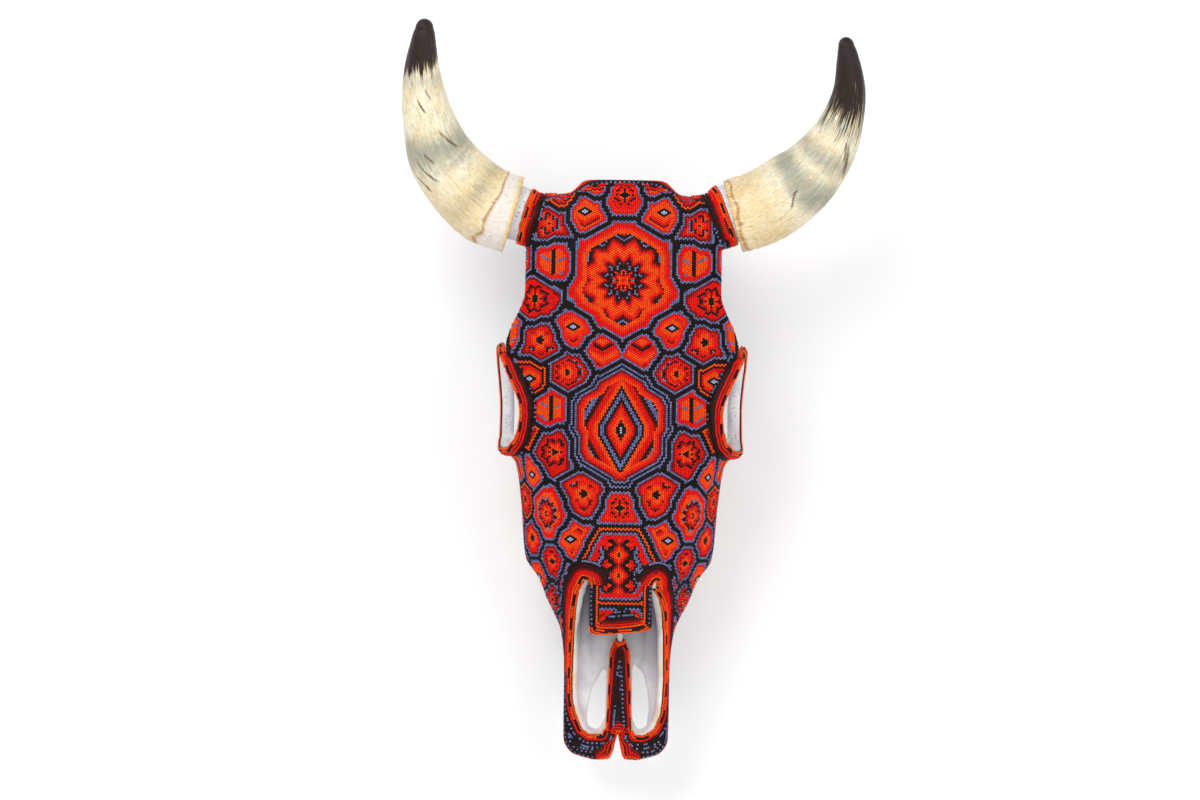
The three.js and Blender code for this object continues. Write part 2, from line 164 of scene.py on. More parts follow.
def eased_between(stations: Array, values: Array, places: Array) -> Array:
    """Interpolate between stations smoothly and without overshoot.

    Args:
        stations: Rising places at which the values are known.
        values: One row for each station.
        places: Where to interpolate.

    Returns:
        One row for each place.
    """
    step = np.diff(stations)[:, None]
    rise = np.diff(values, axis=0) / step
    before, after = rise[:-1], rise[1:]
    near, far = step[:-1] + 2 * step[1:], 2 * step[:-1] + step[1:]
    same = before * after > 0
    safe_before, safe_after = np.where(same, before, 1), np.where(same, after, 1)
    middle = np.where(same, (near + far) / (near / safe_before + far / safe_after), 0)
    slope = np.vstack([rise[:1], middle, rise[-1:]])
    span = np.clip(np.searchsorted(stations, places, side="right") - 1, 0, len(stations) - 2)
    width = step[span]
    t = (places - stations[span])[:, None] / width
    start, end = values[span], values[span + 1]
    return (
        (1 + 2 * t) * (1 - t) ** 2 * start
        + t * (1 - t) ** 2 * width * slope[span]
        + t**2 * (3 - 2 * t) * end
        + t**2 * (t - 1) * width * slope[span + 1]
    )


def loft(rings: Array, closed: bool = False) -> Form:
    """Join rings of equal count into a closed skin, with a fan over each end.

    Args:
        rings: Points, by ring and place round it.
        closed: Whether the last ring leads back to the first.

    Returns:
        The skin, with its faces outwards.
    """
    rings = np.asarray(rings, float)
    number, count = rings.shape[:2]
    place = np.arange(number * count).reshape(number, count)
    here, ahead = (place, np.roll(place, -1, 0)) if closed else (place[:-1], place[1:])
    turn, ahead_turn = np.roll(here, -1, 1), np.roll(ahead, -1, 1)
    halves = (here, turn, ahead_turn), (here, ahead_turn, ahead)
    triangles = [np.stack(corners, -1).reshape(-1, 3) for corners in halves]
    points = rings.reshape(-1, 3)
    if not closed:
        points = np.vstack([points, rings[0].mean(0), rings[-1].mean(0)])
        middle = np.full(count, place.size)
        triangles.append(np.stack([np.roll(place[0], -1), place[0], middle], 1))
        triangles.append(np.stack([place[-1], np.roll(place[-1], -1), middle + 1], 1))
    return Form(points, np.vstack(triangles)).outward()


def round_angles(count: int) -> Array:
    """Return angles evenly spread once round."""
    return np.linspace(0, 2 * math.pi, count, endpoint=False)


def crossways(path: Array, up: tuple, closed: bool = False) -> tuple[Array, Array]:
    """Find the directions across a path.

    Args:
        path: Rows with x, y and z first.
        up: The direction that the second one keeps nearest to.
        closed: Whether the last row leads back to the first.

    Returns:
        Two unit vectors for each row, across the path and square to one another.
    """
    ends = np.vstack([path[-1:], path, path[:1]]) if closed else np.vstack([path[:1], path, path[-1:]])
    tangent = ends[2:, :3] - ends[:-2, :3]
    tangent /= np.linalg.norm(tangent, axis=1, keepdims=True)
    side = np.cross(tangent, up)
    side /= np.linalg.norm(side, axis=1, keepdims=True)
    return side, np.cross(side, tangent)


def bar(stops: Array, sides: int, steps: int, up: tuple = (0, 0, 1), closed: bool = False) -> Form:
    """Draw a round bar along a smooth curve.

    Args:
        stops: Rows of x, along, z, half-width and half-height.
        sides: Faces round the bar.
        steps: Faces along it.
        up: The direction of the half-height.
        closed: Whether the bar is a ring.

    Returns:
        The bar's skin.
    """
    rows = np.array([[x, -along, z, wide, high] for x, along, z, wide, high in stops], float)
    path = smooth_curve(rows, steps if closed else steps + 1, closed)
    side, top = crossways(path, up, closed)
    angle = round_angles(sides)[None, :, None]
    wide, high = path[:, None, 3:4], path[:, None, 4:5]
    rings = path[:, None, :3] + top[:, None] * high * np.cos(angle) + side[:, None] * wide * np.sin(angle)
    return loft(rings, closed)


def ellipsoid(x: float, along: float, z: float, half: tuple, sides: int = 40) -> Form:
    """Draw an ellipsoid.

    Args:
        x, along, z: Its middle.
        half: Its half-axes across, along and up.
        sides: Faces round it.

    Returns:
        Its skin.
    """
    tilt = np.radians(np.linspace(-84, 84, sides // 2))[:, None]
    angle = round_angles(sides)[None]
    ring = [-np.cos(tilt) * np.sin(angle), -np.sin(tilt) + 0 * angle, np.cos(tilt) * np.cos(angle)]
    return loft(np.stack(ring, -1) * half + [x, -along, z])


def upright(outline: list, low: float, high: float) -> Form:
    """Raise an outline of [x, along] points from one height to another."""
    rings = [[[x, -along, z] for x, along in outline] for z in (low, high)]
    return loft(np.array(rings, float))


def across(outline: list, left: float, right: float) -> Form:
    """Carry an outline of [along, z] points across from one x to another."""
    rings = [[[x, -along, z] for along, z in outline] for x in (left, right)]
    return loft(np.array(rings, float))


def mesh_from(name: str, form: Form) -> Mesh:
    """Return a mesh with the form's own numbers."""
    mesh = bpy.data.meshes.new(name)
    mesh.from_pydata(form.points.tolist(), [], form.triangles.tolist())
    return mesh


def form_from(mesh: Mesh) -> Form:
    """Read a mesh.

    Args:
        mesh: The mesh.

    Returns:
        Its points and triangles.
    """
    points = np.empty(len(mesh.vertices) * 3)
    mesh.vertices.foreach_get("co", points)
    mesh.calc_loop_triangles()
    triangles = np.empty(len(mesh.loop_triangles) * 3, np.int64)
    mesh.loop_triangles.foreach_get("vertices", triangles)
    return Form(points.reshape(-1, 3), triangles.reshape(-1, 3))


def even_ring(along: float, top: float, half: list, low: float) -> list:
    """Return a ring that is the same left and right, from its top down the left side and up the right one.

    Args:
        along: The ring's place along the head.
        top: Height of its point on the midline above.
        half: [x, z] points of the right side, downwards.
        low: Height of its point on the midline below.

    Returns:
        The ring's points.
    """
    ring = [(0, top), *[(-x, z) for x, z in half], (0, low), *reversed(half)]
    return [(x, -along, z) for x, z in ring]


def new_object(name: str, data: ID) -> Object:
    """Return a new object of the scene with the given mesh, lamp or camera."""
    made = bpy.data.objects.new(name, data)
    bpy.context.collection.objects.link(made)
    return made


def kd_tree(points: Array) -> KDTree:
    """Make a tree that finds the nearest of some points.

    Args:
        points: The points.

    Returns:
        The tree.
    """
    tree = KDTree(len(points))
    for k, point in enumerate(points):
        tree.insert(point, k)
    tree.balance()
    return tree


def worked(form: Form, add: list = (), cut: list = (), voxel: float = 0.0) -> Form:
    """Add and cut closed forms, then draw the result as one even skin.

    Args:
        form: The first closed form.
        add: Forms that are joined to it.
        cut: Forms that are taken away after that.
        voxel: Width of the even skin's faces, or 0 to leave the faces as they are.

    Returns:
        The new form.
    """
    base = new_object("work", mesh_from("work", form))
    others = []
    for operation, group in (("UNION", add), ("DIFFERENCE", cut)):
        for other in group:
            others.append(new_object("tool", mesh_from("tool", other)))
            step = base.modifiers.new("join", "BOOLEAN")
            step.solver, step.operation, step.object = "MANIFOLD", operation, others[-1]
    if voxel:
        skin = base.modifiers.new("skin", "REMESH")
        skin.mode, skin.voxel_size = "VOXEL", voxel
    evaluated = base.evaluated_get(bpy.context.evaluated_depsgraph_get())
    made = form_from(bpy.data.meshes.new_from_object(evaluated))
    for scratch in [base, *others]:
        bpy.data.meshes.remove(scratch.data)
    return made


@dataclass(frozen=True)
class RestPose:
    """How the skull lies on the table."""

    tilt: float = 5.2  # degrees by which the poll lies higher than the nose
    shift: tuple = (-6.296, 185.775, 183.5)

    def turned(self, vectors: Array) -> Array:
        """Turn vectors from the skull's frame to the table's."""
        c, s = math.cos(math.radians(self.tilt)), math.sin(math.radians(self.tilt))
        return vectors @ np.array([[1, 0, 0], [0, c, s], [0, -s, c]])

    def placed(self, points: Array) -> Array:
        """Return points of the skull's frame on the table, in metres."""
        return (self.turned(points) + self.shift) / 1000


REST = RestPose()


def finished_piece(name: str, form: Form, finish: Material, slot: str, *stands_for: str) -> Object:
    """Put a form on the table as a shown piece of the skull.

    Args:
        name: The piece's name.
        form: Its shape in the skull's frame.
        finish: Its material.
        slot: The record's material slot.
        stands_for: The CAD nodes that it replaces.

    Returns:
        The new object.
    """
    placed = REST.placed(form.points)
    placed[:, 2] = np.maximum(placed[:, 2], 0)
    mesh = mesh_from(name, Form(placed, form.triangles))
    mesh.shade_smooth()
    mesh.materials.append(finish)
    made = new_object(name, mesh)
    declare(made, slot, *stands_for)
    return made


def declare(made: Object, slot: str, *stands_for: str) -> None:
    """Attach a piece to the skull's one body, hide the CAD nodes that it replaces, and log it.

    Args:
        made: The piece, which rides on the skull's one body.
        slot: Not used.
        stands_for: The CAD nodes that it replaces.
    """
    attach(made, "root")
    if stands_for:
        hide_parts(*stands_for)
    log.info("%s: %d faces", made.name, len(made.data.polygons))


def point_values(made: Mesh, name: str, values: Array) -> None:
    """Store an attribute on the points of a mesh.

    Args:
        made: The mesh.
        name: The attribute's name.
        values: One number, or one vector, for each point.
    """
    kind, key = ("FLOAT", "value") if values.ndim == 1 else ("FLOAT_VECTOR", "vector")
    made.attributes.new(name, kind, "POINT").data.foreach_set(key, values.astype(np.float32).ravel())


def ripple(points: Array, width: float, depth: int = 2, seed: float = 0.0) -> Array:
    """Make smooth noise from about -1 to 1.

    Args:
        points: Where it is wanted.
        width: Size of its features in the points' unit.
        depth: How many finer layers are added.
        seed: A shift, which gives another noise.

    Returns:
        One number for each point.
    """
    scaled = points / width + seed
    return np.array([noise.fractal(Vector(p), 1.0, 2.0, depth) for p in scaled])


# ---- Finishes ----


def linear(hex_colour: str) -> tuple[float, float, float, float]:
    """Turn an sRGB colour such as "#FF5A00" into linear values."""
    parts = [int(hex_colour[k : k + 2], 16) / 255 for k in (1, 3, 5)]
    return (*[p / 12.92 if p <= 0.04045 else ((p + 0.055) / 1.055) ** 2.4 for p in parts], 1.0)


def bell(distance: Array, width: float, power: int = 2) -> Array:
    """Return 1 where the distance is nought, falling off on both sides over about a width."""
    return np.exp(-((distance / width) ** power))


def past(distance: Array, width: float, height: float = 1.0) -> Array:
    """Return nearly nought before a place and nearly the height past it, with a soft step of about a width."""
    return height / (1 + np.exp(-distance / width))


def connect(node: Node, sockets: dict) -> None:
    """Set or feed a node's inputs.

    Args:
        node: The node.
        sockets: For an input's name or number its value, or the output or node that feeds it. A node feeds it
            from its first output in use.
    """
    for key, value in sockets.items():
        if isinstance(value, Node):
            value = next(output for output in value.outputs if output.enabled)
        if isinstance(value, NodeSocket):
            node.id_data.links.new(value, node.inputs[key])
        else:
            node.inputs[key].default_value = value


def add_node(tree: NodeTree, kind: str, sockets: dict | None = None, **settings) -> Node:
    """Add one node to a tree.

    Args:
        tree: The tree of nodes.
        kind: The node's type.
        sockets: What its inputs get, as for connect.
        settings: The node's own properties.

    Returns:
        The new node.
    """
    made = tree.nodes.new(kind)
    for name, value in settings.items():
        setattr(made, name, value)
    connect(made, sockets or {})
    return made


def set_ramp(ramp: Node, stops: list) -> None:
    """Give a Color Ramp node its stops.

    Args:
        ramp: The node, with two stops.
        stops: Places from 0 to 1, each with an sRGB hex colour.
    """
    elements = ramp.color_ramp.elements
    while len(elements) < len(stops):
        elements.new(0.5)
    for element, (place, colour) in zip(elements, stops):
        element.position = place
        element.color = linear(colour)


def new_material(name: str) -> tuple[Material, NodeTree, Node]:
    """Start a material.

    Args:
        name: Its name.

    Returns:
        The material, its tree and its Principled shader.
    """
    material = bpy.data.materials.new(name)
    material.use_nodes = True
    tree = material.node_tree
    tree.nodes.clear()
    shader = add_node(tree, "ShaderNodeBsdfPrincipled")
    add_node(tree, "ShaderNodeOutputMaterial", {"Surface": shader.outputs["BSDF"]})
    return material, tree, shader


@dataclass(frozen=True)
class BoneFinish:
    """Sun-bleached cattle bone: chalky white, cream at worn edges, and painted lavender-grey shade in its
    hollows.
    """

    name: str = "bleached_bone"
    white: str = "#EAE8E8"
    shade: str = "#CFCBD3"
    cream: str = "#DCC79C"
    # painted shade: lavender grey for the hollow of the nose and the edges of the eye sockets
    painted_shade_colour: str = "#75717D"
    pore: str = "#6E6259"
    cloud_scale: float = 55.0  # per metre: patches of 18 mm
    grain_scale: float = 900.0  # per metre: bone's grain, drawn as coarse as it needs to show
    pore_spacing: float = 0.0032  # m between the larger pores of spongy bone
    pore_sizes: tuple = (0.12, 0.3)  # radius of a pore's dark middle and of its rim, in its cell
    relief: float = 0.0004  # m
    roughness: float = 0.72

    def build(self) -> Material:
        """Build the bone's material, which reads the attributes of cream, painted shade and spongy bone.

        Returns:
            The material.
        """
        material, tree, shader = new_material(self.name)
        place = add_node(tree, "ShaderNodeTexCoord").outputs["Object"]
        sockets = {"Vector": place, "Scale": self.cloud_scale, "Detail": 5.0}
        cloud = add_node(tree, "ShaderNodeTexNoise", sockets)
        colour = add_node(tree, "ShaderNodeValToRGB", {"Fac": cloud})
        set_ramp(colour, [(0.3, self.shade), (0.62, self.white)])
        cream, painted_shade_mask, spongy = (
            add_node(tree, "ShaderNodeAttribute", attribute_name=name).outputs["Fac"]
            for name in ("cream", "painted_shade_mask", "spongy")
        )
        cells = add_node(tree, "ShaderNodeTexVoronoi", {"Vector": place, "Scale": 1 / self.pore_spacing})
        middle, rim = self.pore_sizes
        hole = add_node(
            tree, "ShaderNodeMapRange",
            {"Value": cells, "From Min": middle, "From Max": rim, "To Min": 1.0, "To Max": 0.0},
        )
        pores = add_node(tree, "ShaderNodeMath", {0: hole, 1: spongy}, operation="MULTIPLY")
        # the second mix is painted shade, lavender grey where the bone lies in shadow
        for share, tint in ((cream, self.cream), (painted_shade_mask, self.painted_shade_colour), (pores, self.pore)):
            sockets = {"Factor": share, 6: colour, 7: linear(tint)}
            colour = add_node(tree, "ShaderNodeMix", sockets, data_type="RGBA")
        sockets = {"Vector": place, "Scale": self.grain_scale, "Detail": 4.0}
        grain = add_node(tree, "ShaderNodeTexNoise", sockets)
        height = add_node(tree, "ShaderNodeMath", {0: grain, 1: pores}, operation="SUBTRACT")
        bump = add_node(tree, "ShaderNodeBump", {"Height": height, "Strength": 0.5, "Distance": self.relief})
        connect(shader, {"Base Color": colour, "Normal": bump, "Roughness": self.roughness, "IOR": 1.5})
        return material


@dataclass(frozen=True)
class WaxFinish:
    """Warm beeswax, pressed on by hand, with a soft gloss: dark amber between the beads, partly its own colour
    and partly painted shade.
    """

    name: str = "beeswax"
    # Both tones are darker than beeswax: partly its own colour, partly painted shade in the gaps between the
    # beads
    amber_and_gap_shade: str = "#3A1207"
    dark: str = "#1C0A05"
    cloud_scale: float = 120.0  # per metre: finger marks of 8 mm
    relief: float = 0.0006  # m
    roughness: float = 0.5
    gloss: float = 0.2

    def build(self) -> Material:
        """Build the wax's material.

        Returns:
            The material.
        """
        material, tree, shader = new_material(self.name)
        place = add_node(tree, "ShaderNodeTexCoord").outputs["Object"]
        sockets = {"Vector": place, "Scale": self.cloud_scale, "Detail": 3.0}
        cloud = add_node(tree, "ShaderNodeTexNoise", sockets)
        tone = add_node(tree, "ShaderNodeValToRGB", {"Fac": cloud})
        set_ramp(tone, [(0.35, self.dark), (0.65, self.amber_and_gap_shade)])
        bump = add_node(tree, "ShaderNodeBump", {"Height": cloud, "Strength": 0.4, "Distance": self.relief})
        connect(shader, {
            "Base Color": tone, "Normal": bump, "Roughness": self.roughness, "IOR": 1.44,
            "Specular IOR Level": self.gloss,
        })
        return material


@dataclass(frozen=True)
class GlassFinish:
    """Opaque drawn glass, fire-polished: one even colour with a small sharp highlight on every bead.

    Rods of one colour differ a little from batch to batch, so each colour is a few pieces of close tones.
    """

    name: str
    colour: str
    roughness: float = 0.3
    gloss: float = 0.16

    def build(self) -> Material:
        """Build the glass, whose numbers are the same all over a bead.

        Returns:
            The material.
        """
        material, _, shader = new_material(self.name)
        connect(shader, {
            "Base Color": linear(self.colour), "Roughness": self.roughness, "IOR": 1.52,
            "Specular IOR Level": self.gloss,
        })
        return material


@dataclass(frozen=True)
class HornFinish:
    """Weathered cattle horn: ivory keratin with lengthwise streaks, smoky bands, a black tip and a chalky root.

    Its noises have their scales per millimetre, because they read the unbent place in millimetres.
    """

    name: str
    ivory: str = "#EDE5C8"
    gold: str = "#D9B369"
    moss: str = "#C4C3A6"
    pale: str = "#F6F1DF"
    ochre: str = "#B0702C"
    umber: str = "#5E4022"
    smoke: str = "#84877A"
    black: str = "#21120B"
    chalk: str = "#E4DBD0"
    fibre_stretch: tuple = (1.0, 1.0, 0.06)
    streak_scale: float = 0.55  # streaks 1.8 mm wide
    fibre_scale: float = 2.6  # fibres 0.4 mm wide
    relief: float = 0.0005  # m
    roughness: float = 0.42
    gloss: float = 0.28

    def build(self) -> Material:
        """Build the horn, which reads "straight" (the unbent place) and the masks of its zones.

        Returns:
            The material.
        """
        material, tree, shader = new_material(self.name)
        straight = add_node(tree, "ShaderNodeAttribute", attribute_name="straight").outputs["Vector"]
        fibres = add_node(tree, "ShaderNodeMapping", {"Vector": straight, "Scale": self.fibre_stretch})
        sockets = {"Vector": fibres, "Scale": self.streak_scale, "Detail": 6.0, "Roughness": 0.62}
        streak = add_node(tree, "ShaderNodeTexNoise", sockets)
        sockets = {"Vector": fibres, "Scale": self.fibre_scale, "Detail": 3.0}
        fine = add_node(tree, "ShaderNodeTexNoise", sockets)
        colour = add_node(tree, "ShaderNodeValToRGB", {"Fac": streak})
        set_ramp(colour, [(0.32, self.gold), (0.5, self.ivory), (0.8, self.ivory)])
        for share, tint in self.layers(tree, straight, streak):
            sockets = {"Factor": share, 6: colour, 7: linear(tint)}
            colour = add_node(tree, "ShaderNodeMix", sockets, data_type="RGBA")
        sockets = {"Value": fine, "From Min": 0.3, "From Max": 0.7, "To Min": 0.82, "To Max": 1.1}
        flecked = add_node(tree, "ShaderNodeMapRange", sockets)
        sockets = {"Factor": 1.0, 6: colour, 7: flecked}
        toned = add_node(tree, "ShaderNodeMix", sockets, data_type="RGBA", blend_type="MULTIPLY")
        bump = add_node(tree, "ShaderNodeBump", {"Height": fine, "Strength": 0.35, "Distance": self.relief})
        connect(shader, {
            "Base Color": toned, "Normal": bump, "Roughness": self.roughness, "IOR": 1.54,
            "Specular IOR Level": self.gloss,
        })
        return material

    def layers(self, tree: NodeTree, straight: NodeSocket, streak: Node) -> list[tuple[Node, str]]:
        """Add what lies over the ivory: soft patches, the zones that the masks give, and dark scratches.

        Args:
            tree: The material's tree.
            straight: The unbent place.
            streak: The noise of the streaks.

        Returns:
            For each layer the node with its share, and its tint.
        """
        layers = []
        # Patches of 20, 12 and 4 mm
        for scale, tint, most in ((0.05, self.gold, 0.5), (0.083, self.moss, 0.55), (0.24, self.pale, 0.7)):
            sockets = {"Vector": straight, "Scale": scale, "Detail": 5.0, "Roughness": 0.6}
            patch = add_node(tree, "ShaderNodeTexNoise", sockets)
            sockets = {"Value": patch, "From Min": 0.5, "From Max": 0.64, "To Max": most}
            layers.append((add_node(tree, "ShaderNodeMapRange", sockets), tint))
        # Each zone has an edge frayed along the streaks
        for zone, tint, spread, soft, most in (
            ("warm", self.gold, 0.9, 0.45, 0.7), ("chalky", self.chalk, 0.25, 0.2, 1.0),
            ("rim", self.ochre, 2.4, 0.3, 0.8), ("smoky", self.smoke, 1.5, 0.45, 0.8),
            ("crack", self.umber, 1.2, 0.3, 0.85), ("dark", self.black, 2.6, 0.16, 1.0),
        ):
            mask = add_node(tree, "ShaderNodeAttribute", attribute_name=zone).outputs["Fac"]
            rough = add_node(tree, "ShaderNodeMath", {0: streak, 1: -0.5}, operation="ADD")
            frayed = add_node(tree, "ShaderNodeMath", {0: rough, 1: spread, 2: mask}, operation="MULTIPLY_ADD")
            sockets = {"Value": frayed, "From Min": 0.5 - soft, "From Max": 0.5 + soft, "To Max": most}
            sharp = add_node(tree, "ShaderNodeMapRange", sockets, interpolation_type="SMOOTHSTEP")
            present = add_node(tree, "ShaderNodeMath", {0: mask, 1: 6.0}, operation="MULTIPLY", use_clamp=True)
            share = add_node(tree, "ShaderNodeMath", {0: sharp, 1: present}, operation="MULTIPLY")
            layers.append((share, tint))
        # Long scratches along the horn and short ones across it
        for stretch, least, most in (((1.0, 1.0, 0.09), 0.66, 0.6), ((0.16, 0.16, 1.3), 0.68, 0.5)):
            grooves = add_node(tree, "ShaderNodeMapping", {"Vector": straight, "Scale": stretch})
            sockets = {"Vector": grooves, "Scale": 1.1, "Detail": 2.0, "Distortion": 0.5}
            scratch = add_node(tree, "ShaderNodeTexNoise", sockets)
            sockets = {"Value": scratch, "From Min": least, "From Max": least + 0.06, "To Max": most}
            layers.append((add_node(tree, "ShaderNodeMapRange", sockets), self.umber))
        return layers


@dataclass(frozen=True)
class ToothFinish:
    """Cow's cheek tooth: glossy cream enamel under patches of brown tartar, dark dentine on the worn face."""

    name: str = "enamel_and_tartar"
    enamel: str = "#E4DAC0"
    tartar: str = "#8A6A42"
    cloud_scale: float = 260.0  # per metre: patches of 4 mm
    relief: float = 0.0003  # m
    roughness: float = 0.32

    def build(self) -> Material:
        """Build the tooth's material, which reads the attribute "stain".

        Returns:
            The material.
        """
        material, tree, shader = new_material(self.name)
        place = add_node(tree, "ShaderNodeTexCoord").outputs["Object"]
        sockets = {"Vector": place, "Scale": self.cloud_scale, "Detail": 4.0}
        cloud = add_node(tree, "ShaderNodeTexNoise", sockets)
        stain = add_node(tree, "ShaderNodeAttribute", attribute_name="stain").outputs["Fac"]
        mixed = add_node(tree, "ShaderNodeMath", {0: cloud, 1: stain}, operation="ADD")
        tone = add_node(tree, "ShaderNodeValToRGB", {"Fac": mixed})
        set_ramp(tone, [(0.5, self.enamel), (0.95, self.tartar)])
        bump = add_node(tree, "ShaderNodeBump", {"Height": cloud, "Strength": 0.3, "Distance": self.relief})
        connect(shader, {"Base Color": tone, "Normal": bump, "Roughness": self.roughness, "IOR": 1.62})
        return material


# ---- Skull ----

# The head's cross-sections, over the beads. Each row is the distance along, the height of the crown, then
# [x, z] of the right half's brow, shoulder, plate edge, side, cheek, base and palate, and the floor's height.
HEAD_SECTIONS = [
    (2, -14, (16, -15), (28, -19), (36, -31), (33, -42), (25, -47), (14, -49), (6, -50), -50),
    (9, -6, (24, -7), (36, -12), (43, -28), (42, -48), (34, -60), (22, -65), (10, -66), -66),
    (14.5, -4, (29, -5), (43, -10), (49, -28), (47, -54), (40, -72), (28, -78), (12, -80), -80),
    (18, -2, (34, -3), (60, -9), (72, -30), (70, -60), (56, -80), (36, -92), (14, -96), -96),
    (30, -1, (40, -2), (70, -8), (84, -28), (78, -58), (68, -86), (48, -110), (20, -119), -120),
    (48, 0, (44, -1), (76, -6), (87, -22), (74, -48), (68, -84), (50, -116), (22, -132), -134),
    (99, 2, (44, 1), (74, -3), (87, -17), (62, -40), (60, -76), (40, -110), (20, -126), -128),
    (151, 0, (50, -1), (86, -6), (104, -20), (66, -44), (43, -74), (32, -102), (17, -116), -118),
    (176, -2, (46, -3), (78, -7), (93, -18), (60, -42), (41, -74), (32, -102), (18, -115), -117),
    (200, -3, (42, -4), (68, -8), (84, -18), (62, -42), (48, -74), (42, -104), (23, -120), -118),
    (214, -4, (42, -5), (70, -9), (88, -22), (88, -52), (78, -84), (60, -118), (36, -130), -120),
    (240, -5, (42, -6), (72, -11), (94, -34), (102, -66), (90, -96), (72, -134), (45, -137), -122),
    (252, -5, (40, -6), (68, -11), (87, -36), (93, -68), (86, -98), (72, -134), (46, -136), -119),
    (283, -4, (34, -5), (58, -11), (78, -38), (88, -70), (80, -98), (68, -129), (44, -131), -113),
    (336, -3, (29, -4), (46, -13), (66, -41), (83, -73), (68, -92), (58, -115), (38, -116), -101),
    (354, -6, (29, -8), (42, -15), (57, -39), (71, -67), (62, -88), (54, -109), (36, -110), -97),
    (371, -22, (28, -22), (41, -22), (53, -40), (64, -64), (57, -84), (50, -102), (32, -103), -93),
    (402, -36, (28, -36), (40, -34), (47, -46), (50, -62), (46, -78), (36, -90), (22, -90), -85),
    (430, -46, (30, -46), (40, -44), (46, -52), (47, -64), (43, -77), (34, -85), (20, -85), -82),
    (495, -58, (28, -57), (39, -57), (45, -62), (47, -69), (44, -76), (34, -81), (18, -81), -80),
    (508, -60, (22, -59), (31, -59), (38, -64), (40, -70), (37, -75), (28, -79), (14, -79), -79),
    (514, -65, (12, -65), (17, -66), (21, -68), (22, -70), (20, -72), (16, -74), (8, -74), -74),
]

# Each horn's centre line and radius: [x, along, z, radius], from its open base to its blunt tip
HORN_STOPS = {
    -1: [
        (-98, 34.2, -37, 35.6), (-108, 31.4, -36.5, 35.5), (-123.1, 24.5, -35, 34.8), (-142.4, 8.4, -30, 32.5),
        (-161.3, -15.3, -21, 29.3), (-171.8, -43.8, -10, 23.4), (-176.7, -65.7, -2, 19.8),
        (-179.1, -90.4, 7, 15.6), (-178.1, -111, 14, 11.6), (-177.2, -126, 18, 7.8), (-177.8, -134, 20, 2),
    ],
    1: [
        (95.6, 32.3, -37, 32.7), (106, 29.3, -36.5, 33), (125.8, 21.3, -35, 33), (146.6, 6.8, -30, 31.8),
        (161.8, -6.2, -23, 28.8), (180.8, -32, -12, 23.3), (191, -58.6, -2, 17.4), (194.5, -79.4, 6, 14),
        (192.6, -105, 14, 9.8), (190.6, -118, 17, 6.2), (189.9, -124, 19, 1.5),
    ],
}


@dataclass(frozen=True)
class HornRoot:
    """Where a horn's sheath begins, its core's radius and the length of core left bare before the beads."""

    side: int
    base: tuple  # x, along and z of the middle of the sheath's rim
    core: float
    bare: float
    collar: tuple  # two [x, along] points on the line where the beads stop
    flare: float = 3.0  # mm by which the core widens towards the poll where it enters the sheath
    rise: float = math.radians(15.8)  # by which the horns leave towards the poll

    def axis(self) -> Array:
        """Return the direction in which the horn leaves the head."""
        return np.array([self.side * math.cos(self.rise), math.sin(self.rise), 0])

    def measured(self, points: Array) -> tuple[Array, Array]:
        """Return how far outwards from the rim points lie along the axis, and how far from the axis."""
        from_rim = points - [self.base[0], -self.base[1], self.base[2]]
        out = from_rim @ self.axis()
        return out, np.linalg.norm(from_rim - out[:, None] * self.axis(), axis=1)

    def within_collar(self, points: Array) -> Array:
        """Measure from the line where the beads stop.

        Args:
            points: Places on the bone.

        Returns:
            How far each lies inside the line.
        """
        (x0, along0), (x1, along1) = self.collar
        length = math.hypot(x1 - x0, along1 - along0)
        towards_head = np.array([-self.side * (along1 - along0), -self.side * (x1 - x0)]) / length
        return (points[:, :2] - [x0, -along0]) @ towards_head

    def point(self, distance: float) -> tuple[float, float, float]:
        """Return x, along and z of a point on the horn's axis, outwards from the sheath's rim."""
        x, along, z = self.base
        across_axis, up_axis, _ = self.axis()
        return x + distance * across_axis, along - distance * up_axis, z


HORN_ROOTS = {
    -1: HornRoot(-1, (-98, 34.2, -37), core=21.5, bare=12.5, collar=((-82, 12.4), (-98, 54))),
    1: HornRoot(1, (95.6, 32.3, -37), core=24, bare=4.5, collar=((83.5, 10.2), (98.5, 51))),
}


# Places along the head and heights of the nose's skin there
NOSE_SKIN = ((340, -12), (349, -14), (371, -23), (402, -35.5), (430, -45.5), (495, -59))


def nose_skin(along: Array) -> Array:
    """Return the height of the nose's skin at places along the head."""
    return np.interp(along, *zip(*NOSE_SKIN))


